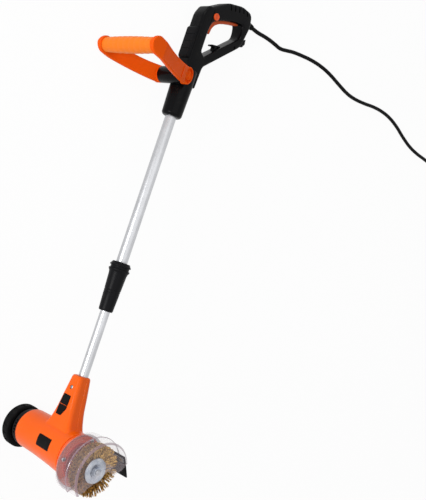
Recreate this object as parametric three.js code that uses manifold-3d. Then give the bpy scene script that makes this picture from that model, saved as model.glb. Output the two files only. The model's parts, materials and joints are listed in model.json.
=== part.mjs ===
// Corded electric weeder: a motor head with a wire brush, a telescopic tube and a D-handle.
// The tool is drawn in its own axes and then laid on its left side on the floor.
// Tool axes, in millimetres: X runs towards the brush, Y towards the user, Z up the tube.
// The tool's origin is where the tube's axis meets the brush's axis.
import * as THREE from "three";
import Module from "manifold-3d";
import { mergeVertices } from "three/addons/utils/BufferGeometryUtils.js";

const wasm = await Module();
wasm.setup();

// Shared clearances and cut overruns
const gap = 0.3; // clear space between two pieces that touch on the real tool
const runGap = 0.5; // clear space round a piece that turns or slides
const overrun = 2; // how far a cutting shape runs past the face that it cuts
const facets = 24; // sides of a large round piece
const fewFacets = 10; // sides of a small round piece
const innerFacets = 16; // sides of a round piece inside the tool
const fullTurn = 2 * Math.PI;
const arcStep = Math.PI / 8; // turn between two points of a rounded corner
const reachShare = 0.49; // most of an edge that a rounded corner may use
const leastReach = 0.2; // a corner with less room than this stays sharp

// Tubes
const lowerTubeRadius = 9.5;
const tubeWall = 1.2;
const upperTubeRadius = lowerTubeRadius + runGap + tubeWall;
const lowerTubeFoot = 58;
const collarFoot = 276;
const collarLength = 98;
const handleFoot = 677;
const upperTubeTop = 802;
const telescopeGrip = 60; // tube left inside the collar when the tool is longest
const telescopeExtend = 100;
const telescopeRetract = 110;
const lowerTubeTop = collarFoot + collarLength + telescopeExtend + telescopeGrip;

// Barrel of the motor housing, as centre height and radius along X
const barrelRear = -96;
const barrelMiddle = 0;
const barrelFront = 50;
const barrelRearRadius = 38.8;
const barrelMiddleRadius = 41;
const barrelFrontRadius = 43;
const barrelRearHeight = 9;
const barrelMiddleHeight = 7.5;
const barrelFrontHeight = 4.5;
const barrelEdge = 2; // rounding at the barrel's ends
const housingWall = 2.6;

// Neck of the housing, as half widths across X and Y at heights up the tube
const neckTop = 144.5;
const neckShift = -3; // the neck's middle lies towards the front
const neckRound = 9;
const neckTopHalfX = 14.5;
const neckTopHalfY = 16;
const neckUpperHeight = 104;
const neckUpperHalfX = 20;
const neckUpperHalfY = 18;
const neckMidHeight = 80;
const neckMidHalfX = 23.5;
const neckMidHalfY = 19;
const neckLowHeight = 55;
const neckLowHalfX = 30;
const neckLowHalfY = 20.5;
const neckRootHeight = 36;
const neckRootHalfX = 38;
const neckRootHalfY = 22;
const neckFoot = 22;
const neckCap = 4; // height over which the neck's top edge rounds off
const neckWall = 3;
const cornerSteps = 3;

// Motor and its bearings on the motor axis
const motorHeight = 8.5;
const shaftRadius = 3;
const motorBearingRadius = 9.5;
const motorBearingWidth = 7;
const rearBearingAt = -91;
const commutatorAt = -80;
const commutatorLength = 14;
const commutatorRadius = 9;
const coreAt = -60;
const coreLength = 45;
const coreRadius = 17;
const statorRadius = 29;
const statorGap = 0.6;
const fanAt = -9;
const fanLength = 8;
const fanRadius = 27;
const fanHubRadius = 8;
const fanBlades = 7;
const fanBladeWidth = 1.6;
const fanPlate = 1.5;
const frontBearingAt = 9;
const carbonWidth = 9;
const carbonLength = 7;
const ribWidth = 4;
const statorRibShares = [0.08, 0.84];

// Gears, with one module for both pairs
const gearModule = 1;
const pinionTeeth = 10;
const idlerTeeth = 30;
const idlerPinionTeeth = 12;
const outputTeeth = 36;
const toothTipShare = 0.7;
const toothRootShare = 1.2;
const toothRootWidthShare = 0.5;
const firstPairAt = 22;
const firstPairWidth = 7;
const secondPairAt = 33;
const secondPairWidth = 7;
const idlerShaftRadius = 3;
const firstCentres = (gearModule * (pinionTeeth + idlerTeeth)) / 2;
const secondCentres = (gearModule * (idlerPinionTeeth + outputTeeth)) / 2;
const idlerZ = (secondCentres ** 2 - firstCentres ** 2 + motorHeight ** 2) / (2 * motorHeight);
const idlerY = Math.sqrt(secondCentres ** 2 - idlerZ ** 2);

// Gear case, nose and spindle on the brush axis
const caseFlangeRadius = 49;
const caseFlangeAt = 65;
const caseFlangeEdge = 3;
const guardScrewRadius = 4; // head of a screw that holds the guard
const guardScrewMargin = 2; // from such a head to the flange's edge
const guardScrewAtRadius = caseFlangeRadius - guardScrewRadius - guardScrewMargin;
const noseRadius = guardScrewAtRadius - guardScrewRadius - guardScrewMargin;
const noseFront = 72;
const caseWall = 4;
const caseHollowRadius = noseRadius - caseWall;
const caseHollowFront = 61;
const spindleRadius = 5;
const spindleBearingRadius = 11;
const spindleBearingWidth = 7;
const innerBearingAt = 44;
const outerBearingAt = 62.5;

// Wire brush
const brushMiddle = 105;
const brushRadius = 50;
const brushTipHalf = 12; // half the brush's width at the wire tips
const brushRootHalf = 5.5;
const hubDiscRadius = 24;
const hubDiscEdge = 5;
const hubDiscThick = 2;
const bristleRootRadius = 15;
const bristleRingRadius = 21;
const bristleRingGap = 0.4;
const bristleRows = 5;
const bristlesPerRow = 60;
const bristleRingSides = 12;
const bristleStagger = 0.12;
const bristleHalf = 0.75;
const nutRadius = 9.5;
const nutThick = 6;
const spindleEndSpare = 3;

// Clear guard
const guardRadius = 60;
const guardWall = 2.4;
const guardFront = 133;
const guardShoulder = 8; // length of the rounded shoulder behind the guard's side wall
const guardCorner = 3;
const beadAt = 105;
const beadHeight = 2;
const beadHalf = 2.2;
const ribRingRadius = 43.5; // raised ring on the guard's front face
const ribRingHeight = 1.6;
const ribRingWidth = 2;
const guardMouthShares = [
  [-1.6, -1.545],
  [0.35, 0.305],
  [0.45, 0],
  [0.72, 0.2],
  [0.9, 0.47],
  [1.7, 0.93],
  [1.7, -1.7],
  [-1.6, -1.7],
];
const guardScrewHead = 2.4;
const guardFacets = 36;
const guardScrewTurns = [Math.PI * 0.42, Math.PI * 0.98];

// Rubber flap inside the guard's rear end
const flapThick = 2.5;
const flapStart = Math.PI * 0.215;
const flapBend = Math.PI * 0.135;
const flapLength = 29;
const flapLean = Math.PI * 0.333; // slope of the hanging part below the Y axis
const flapNear = 79;
const flapFar = 129.5;
const stripThick = 2;
const stripStart = Math.PI * 0.2;
const stripEnd = Math.PI * 0.15;
const stripMargin = 3;
const flapSteps = 4;
const stripSteps = 3;

// Rear cap and support wheel
const capRadius = 36.5;
const capDepth = 15;
const capEdge = 4;
const capHeight = 7.5;
const capVents = 7;
const capVentWidth = 3;
const capVentDepth = 4;
const wheelHeight = 4.5;
const wheelRadius = 42.8;
const wheelNear = -115;
const wheelWidth = 19;
const wheelEdge = 3;
const tyreDepth = 9;
const treadRibs = 16;
const treadDepth = 1.6;
const treadShare = 0.35;
const hubBoss = 12;
const hubWeb = 7;
const axleRadius = 4;
const axleHeadRadius = 7.5;
const axleHeadThick = 4;
const axleInCap = 10;

// Black insets on the neck and the bare plate on the barrel, as places on the tool's front
const insetThick = 2.4;
const insetProud = 0.9;
const insetTop = 105;
const insetSplit = 85;
const insetFoot = 64.5;
const insetSplitGap = 1.4;
const insetLeft = -15;
const insetRight = 8;
const insetTopLeftShare = 0.14;
const insetCornerShare = 0.38;
const insetCutShare = 0.6;
const plateWidth = 39;
const plateHeight = 22;
const plateX = -2;
const plateZ = 10;
const plateThick = 2.2;
const plateProud = 0.5;

// Twist collar, as radii up its length
const collarFootRadius = 14.2;
const collarFootEdge = 2.5;
const collarBodyRadius = 18;
const collarBodyShare = 0.78;
const collarFlangeRadius = 21;
const collarFlangeThick = 2.6;
const collarNeckRadius = 18.6;
const collarTopRadius = 17.5;
const collarBushWall = 1.1;
const collarBushLength = 58;
const collarBushFoot = 5;
const collarLip = 3;

// Handle body, as places in the plane of the tube and the grip
const handleHalf = 17;
const handleRound = 7;
const handleBevel = 6;
const handleWall = 2.6;
const collarSleeveRadius = 20.5;
const sleeveTop = 775;
const sleeveEdge = 5;
const sleeveFlare = 2; // how much wider the sleeve is at its top
const spineFront = -18;
const spineTop = 909;
const gripFront = 2;
const gripRear = 118;
const gripTop = 954;
const gripUnder = 896;
const postFoot = 877;
const strutFoot = 793;
const strutBack = 22.5;
const openingFront = 8.5;
const openingBack = 99;
const openingFoot = 813;
const openingTop = 926;
const channelDepth = 2;
const hookHalf = 6;
const hookY = 50;
const hookZ = 849;
const hookThick = 4;
const hookReach = 12;
const hookRise = 18;
const hookTiltShare = 0.35;
const spineGrooveWidth = 1.2;
const spineGrooveDepth = 0.8;
const spineGrooveY = 5;

// Soft cover on the grip and pad on the spine
const coverThick = 5;
const coverDepth = 7.5;
const coverGrooves = 5;
const coverGrooveWidth = 2;
const coverGrooveDepth = 1.5;
const padFoot = 792;
const padTop = 862;
const padThick = 5;
const padHalf = 14.5;
const padRound = 3.5;

// Trigger and lock-off button
const triggerHalf = 5;
const triggerTipY = 22.5;
const triggerTipZ = 863;
const triggerBend = 12.7; // size of the trigger's bend between its tip and its straight part
const triggerPivotY = 90;
const triggerPivotZ = 926;
const triggerThick = 10;
const triggerTravel = (6.5 * Math.PI) / 180;
const triggerSlotGap = 1;
const triggerPinRadius = 2;
const buttonRadius = 7;
const buttonY = 15;
const buttonZ = 896.5;
const buttonProud = 2.6;
const buttonEdge = 0.6;
const buttonLength = 9;

// Switch and leads inside the handle
const switchLength = 26;
const switchDepth = 8.4;
const switchWidth = 16;
const switchY = 56;
const switchTop = 936.2;
const triggerPinHalf = 13;
const leadRadius = 2.5;
const leadSides = 8;
const leadSide = -(upperTubeRadius - tubeWall - leadRadius - gap);

// Front handle, its pivot hub and bolt
const pivotY = -29;
const pivotZ = 752;
const hubRadius = 16.5;
const hubHalf = 30;
const bossWidth = 13;
const bossHalfZ = 17;
const bossHalfY = 12;
const bossRecess = 4;
const bossRim = 2.5;
const boltRadius = 4;
const boltHeadRadius = 6.5;
const boltHead = 3.4;
const barY = -149;
const barZ = 756;
const barRadius = 11.5;
const strapX = 73.5; // middle of a strap where it meets the bar
const strapHalf = 5.2;
const strapHigh = 17;
const strapWaist = 1.5;
const strapSag = 4;
const strapSquareness = 4;
const strapShares = [0, 0.21, 0.42, 0.64, 0.86, 1];
const strapStraightShare = 0.86;
const strapEndShares = [0.35, 0.65, 0.88];
const bossSides = 16;
const sleeveRadius = 16.2;
const sleeveEndRadius = 14.6;
const sleeveRings = 7;
const gripSides = 16;
const sleeveRingDepth = 0.5;

// Screws
const screwRadius = 1.8;
const screwHeadRadius = 3.6;
const screwHead = 2.2;
const screwLength = 12;
const screwSink = 1.4;
const neckScrewLength = 4.6;
const handleScrewLength = 22;

// Pieces that the resting tool stands on
const restPieces = [["wheel_tyre"], ["front_handle_loop"], ["left_handle_shell"]];
const restRounds = 8;

// Mains cord and what is on it
const cordRadius = 4.2;
const cordSides = 8;
const cordSteps = 36;
const reliefLength = 34;
const reliefRadius = 7.5;
const reliefTip = 5.6;
const exitZ = 935.5;
const coilTurns = 4;
const coilOuterRadius = 52;
const coilPitch = 9.3;
const coilLayer = 9.3;
const coilLift = 6.2; // height of the lower layer's middle, with the tie under it
const coilSteps = 24;
const coilSides = 6;
const coilRise = [0.47, 0.53]; // shares of the winding between which it climbs a layer
const coilX = 492;
const coilY = -930;
const coilLead = 50;
const tieThick = 1.2;
const tieWidth = 11;
const tieTurn = Math.PI / 2; // how far round the coil the tie is from its start
const plugLength = 38;
const plugHalfWide = 18;
const plugHalfHigh = 15;
const plugNeckRadius = 7;
const plugFaceEdge = 2;
const plugShares = [0, 0.3, 0.6];
const pinRadius = 2.4;
const pinLength = 19;
const pinSpacing = 19;
// Places that the cord passes on the floor, as X and Y in the resting tool's own frame
const cordRoute = [
  [482, -212],
  [480.5, -234],
  [479, -252],
  [483, -270],
  [488, -288],
  [493, -318],
  [496.5, -350],
  [496.5, -386],
  [493, -415],
  [485, -452],
  [478, -487],
  [476.5, -515],
  [480, -552],
  [486, -590],
  [488, -622],
  [485.5, -655],
  [477, -690],
  [463, -728],
  [451.5, -766],
  [446, -802],
  [444, -838],
  [442, -870],
];

// Geometry helpers

// A closed mesh as a solid that can be joined and cut.
function solid(geometry) {
  const bare = geometry.index ? geometry.toNonIndexed() : geometry.clone();
  bare.deleteAttribute("normal");
  bare.deleteAttribute("uv");
  const merged = mergeVertices(bare, 1e-4);
  const mesh = new wasm.Mesh({
    numProp: 3,
    vertProperties: new Float32Array(merged.attributes.position.array),
    triVerts: new Uint32Array(merged.index.array),
  });
  return new wasm.Manifold(mesh);
}

// The solid's triangles as a geometry.
function geometryOf(body) {
  const mesh = body.getMesh();
  const geometry = new THREE.BufferGeometry();
  geometry.setAttribute("position", new THREE.BufferAttribute(new Float32Array(mesh.vertProperties), 3));
  geometry.setIndex(new THREE.BufferAttribute(new Uint32Array(mesh.triVerts), 1));
  const flat = geometry.toNonIndexed();
  flat.computeVertexNormals();
  return flat;
}

const join = (first, ...rest) => rest.reduce((whole, piece) => whole.add(piece), first);
const cut = (first, ...rest) => rest.reduce((whole, piece) => whole.subtract(piece), first);

// Closed skin over rings of equal count, with flat ends or a last ring of one point.
function skinOf(rings) {
  const points = [];
  const count = rings[0].length;
  const triangle = (a, b, c) => points.push(...a, ...b, ...c);
  for (let r = 0; r + 1 < rings.length; r++) {
    const pointed = rings[r + 1].length === 1;
    for (let i = 0; i < count; i++) {
      const j = (i + 1) % count;
      triangle(rings[r][i], rings[r][j], rings[r + 1][pointed ? 0 : i]);
      if (!pointed) {
        triangle(rings[r][j], rings[r + 1][j], rings[r + 1][i]);
      }
    }
  }
  const first = rings[0];
  const last = rings[rings.length - 1];
  for (let i = 1; i + 1 < count; i++) {
    triangle(first[0], first[i + 1], first[i]);
    if (last.length > 1) {
      triangle(last[0], last[i], last[i + 1]);
    }
  }
  const geometry = new THREE.BufferGeometry();
  geometry.setAttribute("position", new THREE.Float32BufferAttribute(points, 3));
  return geometry;
}

// Skin turned right way out where its rings ran the other way.
function loft(rings) {
  const body = solid(skinOf(rings));
  if (body.volume() > 0) {
    return body;
  }
  return solid(skinOf(rings.map((ring) => [...ring].reverse())));
}

// Solid of revolution round X: the profile is a closed list of [x, radius], the axis at (y, z).
function turned(profile, y, z, sides = facets) {
  const points = [...profile, profile[0]].map(([x, radius]) => new THREE.Vector2(radius, x));
  const geometry = new THREE.LatheGeometry(points, sides);
  geometry.rotateZ(-Math.PI / 2);
  geometry.translate(0, y, z);
  const body = solid(geometry);
  if (body.volume() > 0) {
    return body;
  }
  points.reverse();
  const other = new THREE.LatheGeometry(points, sides);
  other.rotateZ(-Math.PI / 2);
  other.translate(0, y, z);
  return solid(other);
}

// Cylinder along X from one place to another.
function rodX(radius, from, to, y, z, sides = fewFacets) {
  const geometry = new THREE.CylinderGeometry(radius, radius, to - from, sides);
  geometry.rotateZ(-Math.PI / 2);
  geometry.translate((from + to) / 2, y, z);
  return solid(geometry);
}

// Cylinder along Y from one place to another.
function rodY(radius, from, to, x, z, sides = fewFacets) {
  const geometry = new THREE.CylinderGeometry(radius, radius, to - from, sides);
  geometry.translate(x, (from + to) / 2, z);
  return solid(geometry);
}

// Cylinder along Z from one place to another.
function rodZ(radius, from, to, x, y, sides = fewFacets) {
  const geometry = new THREE.CylinderGeometry(radius, radius, to - from, sides);
  geometry.rotateX(Math.PI / 2);
  geometry.translate(x, y, (from + to) / 2);
  return solid(geometry);
}

function tubeZ(outer, inner, from, to, sides = facets) {
  return cut(rodZ(outer, from, to, 0, 0, sides), rodZ(inner, from - overrun, to + overrun, 0, 0, sides));
}

function block(x0, x1, y0, y1, z0, z1) {
  const geometry = new THREE.BoxGeometry(x1 - x0, y1 - y0, z1 - z0);
  geometry.translate((x0 + x1) / 2, (y0 + y1) / 2, (z0 + z1) / 2);
  return solid(geometry);
}

// Plate whose outline lies in Y and Z, from one X to another, with its edges rounded by round.
function plateYZ(outline, x0, x1, round = 0, segments = 2) {
  const shape = new THREE.Shape(outline.map(([y, z]) => new THREE.Vector2(y, z)));
  const settings = { depth: x1 - x0 - 2 * round, bevelEnabled: round > 0, curveSegments: 6 };
  if (round > 0) {
    Object.assign(settings, {
      bevelThickness: round,
      bevelSize: round,
      bevelOffset: -round,
      bevelSegments: segments,
    });
  }
  const geometry = new THREE.ExtrudeGeometry(shape, settings);
  geometry.translate(0, 0, x0 + round);
  geometry.applyMatrix4(new THREE.Matrix4().set(0, 0, 1, 0, 1, 0, 0, 0, 0, 1, 0, 0, 0, 0, 0, 1));
  return solid(geometry);
}

// Closed outline through corner points, each corner rounded to an arc of its own radius.
function roundedOutline(corners, radii) {
  const points = [];
  const count = corners.length;
  for (let i = 0; i < count; i++) {
    const here = new THREE.Vector2(...corners[i]);
    const inward = new THREE.Vector2(...corners[(i + count - 1) % count]).sub(here);
    const outward = new THREE.Vector2(...corners[(i + 1) % count]).sub(here);
    const half = Math.abs(angleBetween(inward, outward)) / 2;
    const most = Math.min(inward.length(), outward.length()) * reachShare;
    const reach = Math.min(radii[i] / Math.tan(half), most);
    if (reach < leastReach) {
      points.push([here.x, here.y]);
      continue;
    }
    const radius = reach * Math.tan(half);
    const start = here.clone().add(inward.clone().setLength(reach));
    const end = here.clone().add(outward.clone().setLength(reach));
    const toMiddle = inward.clone().normalize().add(outward.clone().normalize());
    const middle = here.clone().add(toMiddle.setLength(radius / Math.sin(half)));
    const from = start.clone().sub(middle);
    const sweep = angleBetween(from, end.clone().sub(middle));
    const steps = Math.max(2, Math.round(Math.abs(sweep) / arcStep));
    for (let k = 0; k <= steps; k++) {
      const turn = Math.atan2(from.y, from.x) + (sweep * k) / steps;
      points.push([middle.x + radius * Math.cos(turn), middle.y + radius * Math.sin(turn)]);
    }
  }
  return points;
}

// Signed angle from one direction to another.
function angleBetween(a, b) {
  return Math.atan2(a.x * b.y - a.y * b.x, a.x * b.x + a.y * b.y);
}

// Rounded rectangle ring in a plane of constant Z.
function neckRing(halfX, halfY, round, z) {
  const ring = [];
  const corners = [
    [1, 1, 0],
    [-1, 1, 1],
    [-1, -1, 2],
    [1, -1, 3],
  ];
  for (const [sx, sy, quarter] of corners) {
    for (let step = 0; step <= cornerSteps; step++) {
      const turn = ((quarter + step / cornerSteps) * Math.PI) / 2;
      ring.push([
        sx * (halfX - round) + round * Math.cos(turn),
        neckShift + sy * (halfY - round) + round * Math.sin(turn),
        z,
      ]);
    }
  }
  return ring;
}

// Ring for a swept bar: centre, the two half sizes and their directions, squareness from 2 upwards.
function barRing(centre, side, up, halfSide, halfUp, squareness, count = 12) {
  const ring = [];
  for (let i = 0; i < count; i++) {
    const turn = (i / count) * fullTurn;
    const bend = (value) => Math.sign(value) * Math.abs(value) ** (2 / squareness);
    const a = bend(Math.cos(turn)) * halfSide;
    const b = bend(Math.sin(turn)) * halfUp;
    ring.push([0, 1, 2].map((k) => centre[k] + side[k] * a + up[k] * b));
  }
  return ring;
}

// Round ring across X.
function circleRing(x, height, radius, sides = facets) {
  const ring = [];
  for (let i = 0; i < sides; i++) {
    const turn = (i / sides) * fullTurn;
    ring.push([x, radius * Math.sin(turn), height + radius * Math.cos(turn)]);
  }
  return ring;
}

// Spur gear along X, turned by phase about its axis at (y, z).
function gear(teeth, from, width, y, z, phase) {
  const pitch = (gearModule * teeth) / 2;
  const root = pitch - gearModule * toothRootShare;
  const tip = pitch + gearModule * toothTipShare;
  const step = fullTurn / teeth;
  const outline = [];
  for (let i = 0; i < teeth; i++) {
    const middle = phase + i * step;
    const rootHalf = (step * toothRootWidthShare) / 2;
    for (const [radius, turn] of [
      [root, middle - rootHalf],
      [tip, middle],
      [root, middle + rootHalf],
    ]) {
      outline.push([y + radius * Math.cos(turn), z + radius * Math.sin(turn)]);
    }
  }
  return plateYZ(outline, from, from + width);
}

// The model
const colours = {
  orange: [0xff6a1c, 0.42, 0],
  shadeOrange: [0xe2500f, 0.45, 0],
  black: [0x1c1c1e, 0.5, 0],
  softBlack: [0x2b2b2e, 0.8, 0],
  rubber: [0x161617, 0.9, 0],
  aluminium: [0xc9cacc, 0.3, 1],
  steel: [0xa9b0b8, 0.35, 1],
  brass: [0xb8862f, 0.45, 1],
  copper: [0xb06a3c, 0.4, 1],
  graphite: [0x3b3b3e, 0.7, 0],
  clear: [0xdccfd0, 0.15, 0],
  white: [0xe8e6e0, 0.5, 0],
};

const tool = new THREE.Group();
const part = new THREE.Group();

// Adds a solid or a geometry as a named piece.
function add(name, body, colour, group = tool) {
  const [hex, roughness, metalness] = colours[colour];
  const material = new THREE.MeshStandardMaterial({ color: hex, roughness, metalness });
  const geometry = body instanceof THREE.BufferGeometry ? body : geometryOf(body);
  const mesh = new THREE.Mesh(geometry, material);
  mesh.name = name;
  group.add(mesh);
  return mesh;
}

// Motor housing: barrel and neck in one hollow body, split into a front and a rear shell.
function barrelBody(offset, endInset) {
  const stations = [
    [barrelRear + endInset, barrelRearHeight, barrelRearRadius - barrelEdge],
    [barrelRear + endInset + barrelEdge, barrelRearHeight, barrelRearRadius],
    [barrelMiddle, barrelMiddleHeight, barrelMiddleRadius],
    [barrelFront - endInset, barrelFrontHeight, barrelFrontRadius],
  ];
  return loft(stations.map(([x, height, radius]) => circleRing(x, height, radius - offset)));
}

function neckBody(offset, topInset) {
  const stations = [
    [neckRootHalfX, neckRootHalfY, neckFoot],
    [neckRootHalfX, neckRootHalfY, neckRootHeight],
    [neckLowHalfX, neckLowHalfY, neckLowHeight],
    [neckMidHalfX, neckMidHalfY, neckMidHeight],
    [neckUpperHalfX, neckUpperHalfY, neckUpperHeight],
    [neckTopHalfX, neckTopHalfY, neckTop - neckCap - topInset],
  ];
  if (topInset === 0) {
    stations.push([neckTopHalfX - neckCap / 2, neckTopHalfY - neckCap / 2, neckTop]);
  }
  return loft(stations.map(([x, y, z]) => neckRing(x - offset, y - offset, neckRound - offset / 2, z)));
}

// A wall across the barrel that holds what passes through its bores.
function barrelRib(from, width) {
  return rodX(barrelFrontRadius, from, from + width, 0, barrelMiddleHeight, facets);
}

function insetCutter(z0, z1, depth) {
  const span = insetRight - insetLeft;
  const rise = insetTop - insetFoot;
  const corners = [
    [insetLeft + span * insetTopLeftShare, insetTop],
    [insetRight, insetTop],
    [insetRight, insetFoot + rise * insetCornerShare],
    [insetLeft + span * insetCutShare, insetFoot],
    [insetLeft, insetFoot],
    [insetLeft, insetSplit],
  ];
  const shape = new THREE.Shape(corners.map(([x, z]) => new THREE.Vector2(x, z)));
  const geometry = new THREE.ExtrudeGeometry(shape, { depth, bevelEnabled: false });
  geometry.rotateX(Math.PI / 2);
  const body = solid(geometry);
  const span0 = insetLeft - overrun;
  const span1 = insetRight + overrun;
  return body.intersect(block(span0, span1, -depth - overrun, overrun, z0, z1));
}

function makeHousing() {
  const outer = join(barrelBody(0, 0), neckBody(0, 0));
  const bulkheads = [
    [rearBearingAt, motorBearingWidth],
    ...statorRibShares.map((share) => [coreAt + share * coreLength, ribWidth]),
    [frontBearingAt, motorBearingWidth],
    [innerBearingAt, barrelFront - innerBearingAt],
  ].map(([from, width]) => barrelRib(from, width));
  let hollow = join(barrelBody(housingWall, housingWall), neckBody(neckWall, neckWall));
  hollow = cut(hollow, ...bulkheads);
  // Socket that holds the tube inside the neck
  const socket = rodZ(lowerTubeRadius + gap + neckWall, lowerTubeFoot, neckTop, 0, 0);
  hollow = cut(hollow, socket);
  let shell = cut(outer, hollow);
  shell = cut(
    shell,
    rodZ(lowerTubeRadius + gap, lowerTubeFoot - gap, neckTop + overrun, 0, 0, facets),
    rodX(motorBearingRadius + gap, rearBearingAt, rearBearingAt + motorBearingWidth + overrun, 0, motorHeight),
    rodX(motorBearingRadius + gap, frontBearingAt - overrun, frontBearingAt + motorBearingWidth, 0, motorHeight),
    rodX(shaftRadius + runGap, frontBearingAt - overrun, secondPairAt, 0, motorHeight),
    rodX(statorRadius + gap, coreAt - runGap, coreAt + coreLength + runGap, 0, motorHeight, innerFacets),
    rodX(idlerShaftRadius + gap, frontBearingAt + overrun, barrelFront - overrun, idlerY, idlerZ),
    rodX(spindleBearingRadius + gap, innerBearingAt - overrun, barrelFront + overrun, 0, 0),
  );
  // Windows in the rear wall and the open mouth towards the gear case
  const mouth = rodX(caseHollowRadius, barrelFront - housingWall - gap, barrelFront + overrun, 0, 0, facets);
  const keep = rodX(spindleBearingRadius + neckWall, innerBearingAt, barrelFront + overrun, 0, 0, facets);
  shell = cut(shell, cut(mouth, keep));
  // Seats for the insets, the plate and the screws in the front wall
  shell = cut(shell, plateSeat());
  for (const [z0, z1] of insetSpans()) {
    shell = cut(shell, insetBody(z0, z1, gap));
  }
  for (const [x, z] of housingScrewPlaces()) {
    const face = neckShift - neckTopHalfY;
    shell = cut(
      shell,
      rodY(screwHeadRadius + gap, face - neckCap, face + screwSink + screwHead, x, z),
      rodY(screwRadius + gap, face, face + screwSink + screwHead + neckScrewLength + gap, x, z),
    );
  }
  const big = 3 * guardRadius;
  const front = shell.intersect(block(barrelRear - big, guardFront, -big, -gap / 2, -big, big));
  const rear = shell.intersect(block(barrelRear - big, guardFront, gap / 2, big, -big, big));
  add("front_motor_housing", largest(front), "orange");
  add("rear_motor_housing", largest(rear), "orange");
}

// The largest of the separate bodies that a cut leaves.
function largest(body) {
  return body.decompose().reduce((best, piece) => (piece.volume() > best.volume() ? piece : best));
}

const insetSpans = () => [
  [insetSplit + insetSplitGap / 2, insetTop],
  [insetFoot, insetSplit - insetSplitGap / 2],
];

// An inset follows the neck's front face: the band between two offsets of the neck, cut to its outline.
function insetBody(z0, z1, margin) {
  const reach = 2 * neckMidHalfY;
  const outline = insetCutter(z0 - margin, z1 + margin, reach);
  const grown = margin > 0 ? spread(outline, margin) : outline;
  const skin = cut(neckBody(-insetProud, 0), neckBody(insetThick - insetProud + margin, 0));
  return grown.intersect(skin);
}

// The outline widened a little, for the seat that the inset drops into.
function spread(body, margin) {
  const box = body.boundingBox();
  const size = [0, 1, 2].map((k) => box.max[k] - box.min[k]);
  const centre = [0, 1, 2].map((k) => (box.max[k] + box.min[k]) / 2);
  const scale = [0, 1, 2].map((k) => (k === 1 ? 1 : (size[k] + 2 * margin) / size[k]));
  return body
    .translate(centre.map((c) => -c))
    .scale(scale)
    .translate(centre);
}

// The bare plate's box, grown on all sides by a margin.
function plateBox(margin) {
  const half = plateWidth / 2 + margin;
  const tall = plateHeight / 2 + margin;
  return block(plateX - half, plateX + half, -2 * barrelFrontRadius, 0, plateZ - tall, plateZ + tall);
}

function plateSeat() {
  const band = cut(barrelBody(-2 * plateProud, 0), barrelBody(plateThick - plateProud + gap, 0));
  return plateBox(gap).intersect(band);
}

const housingScrewPlaces = () => [[0, (insetTop + neckTop) / 2 - neckCap]];

function makeHousingTrim() {
  const names = ["upper_neck_inset", "lower_neck_inset"];
  insetSpans().forEach(([z0, z1], i) => add(names[i], largest(insetBody(z0, z1, 0)), "black"));
  const band = cut(barrelBody(-plateProud, 0), barrelBody(plateThick - plateProud, 0));
  add("housing_plate", plateBox(0).intersect(band), "black");
  housingScrewPlaces().forEach(([x, z], i) => {
    const face = neckShift - neckTopHalfY + screwSink;
    add("housing_screw_" + (i + 1), screwAlongY(x, z, face, 1, neckScrewLength), "steel");
  });
}

// Screw whose head starts at y and whose shank runs on in the direction given.
function screwAlongY(x, z, y, way, length) {
  const headEnd = y + way * screwHead;
  const end = headEnd + way * length;
  return join(
    rodY(screwHeadRadius, Math.min(y, headEnd), Math.max(y, headEnd), x, z),
    rodY(screwRadius, Math.min(y, end), Math.max(y, end), x, z),
  );
}

function screwAlongX(y, z, x, way, length) {
  const headEnd = x + way * screwHead;
  const end = headEnd + way * length;
  return join(
    rodX(screwHeadRadius, Math.min(x, headEnd), Math.max(x, headEnd), y, z),
    rodX(screwRadius, Math.min(x, end), Math.max(x, end), y, z),
  );
}

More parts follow.
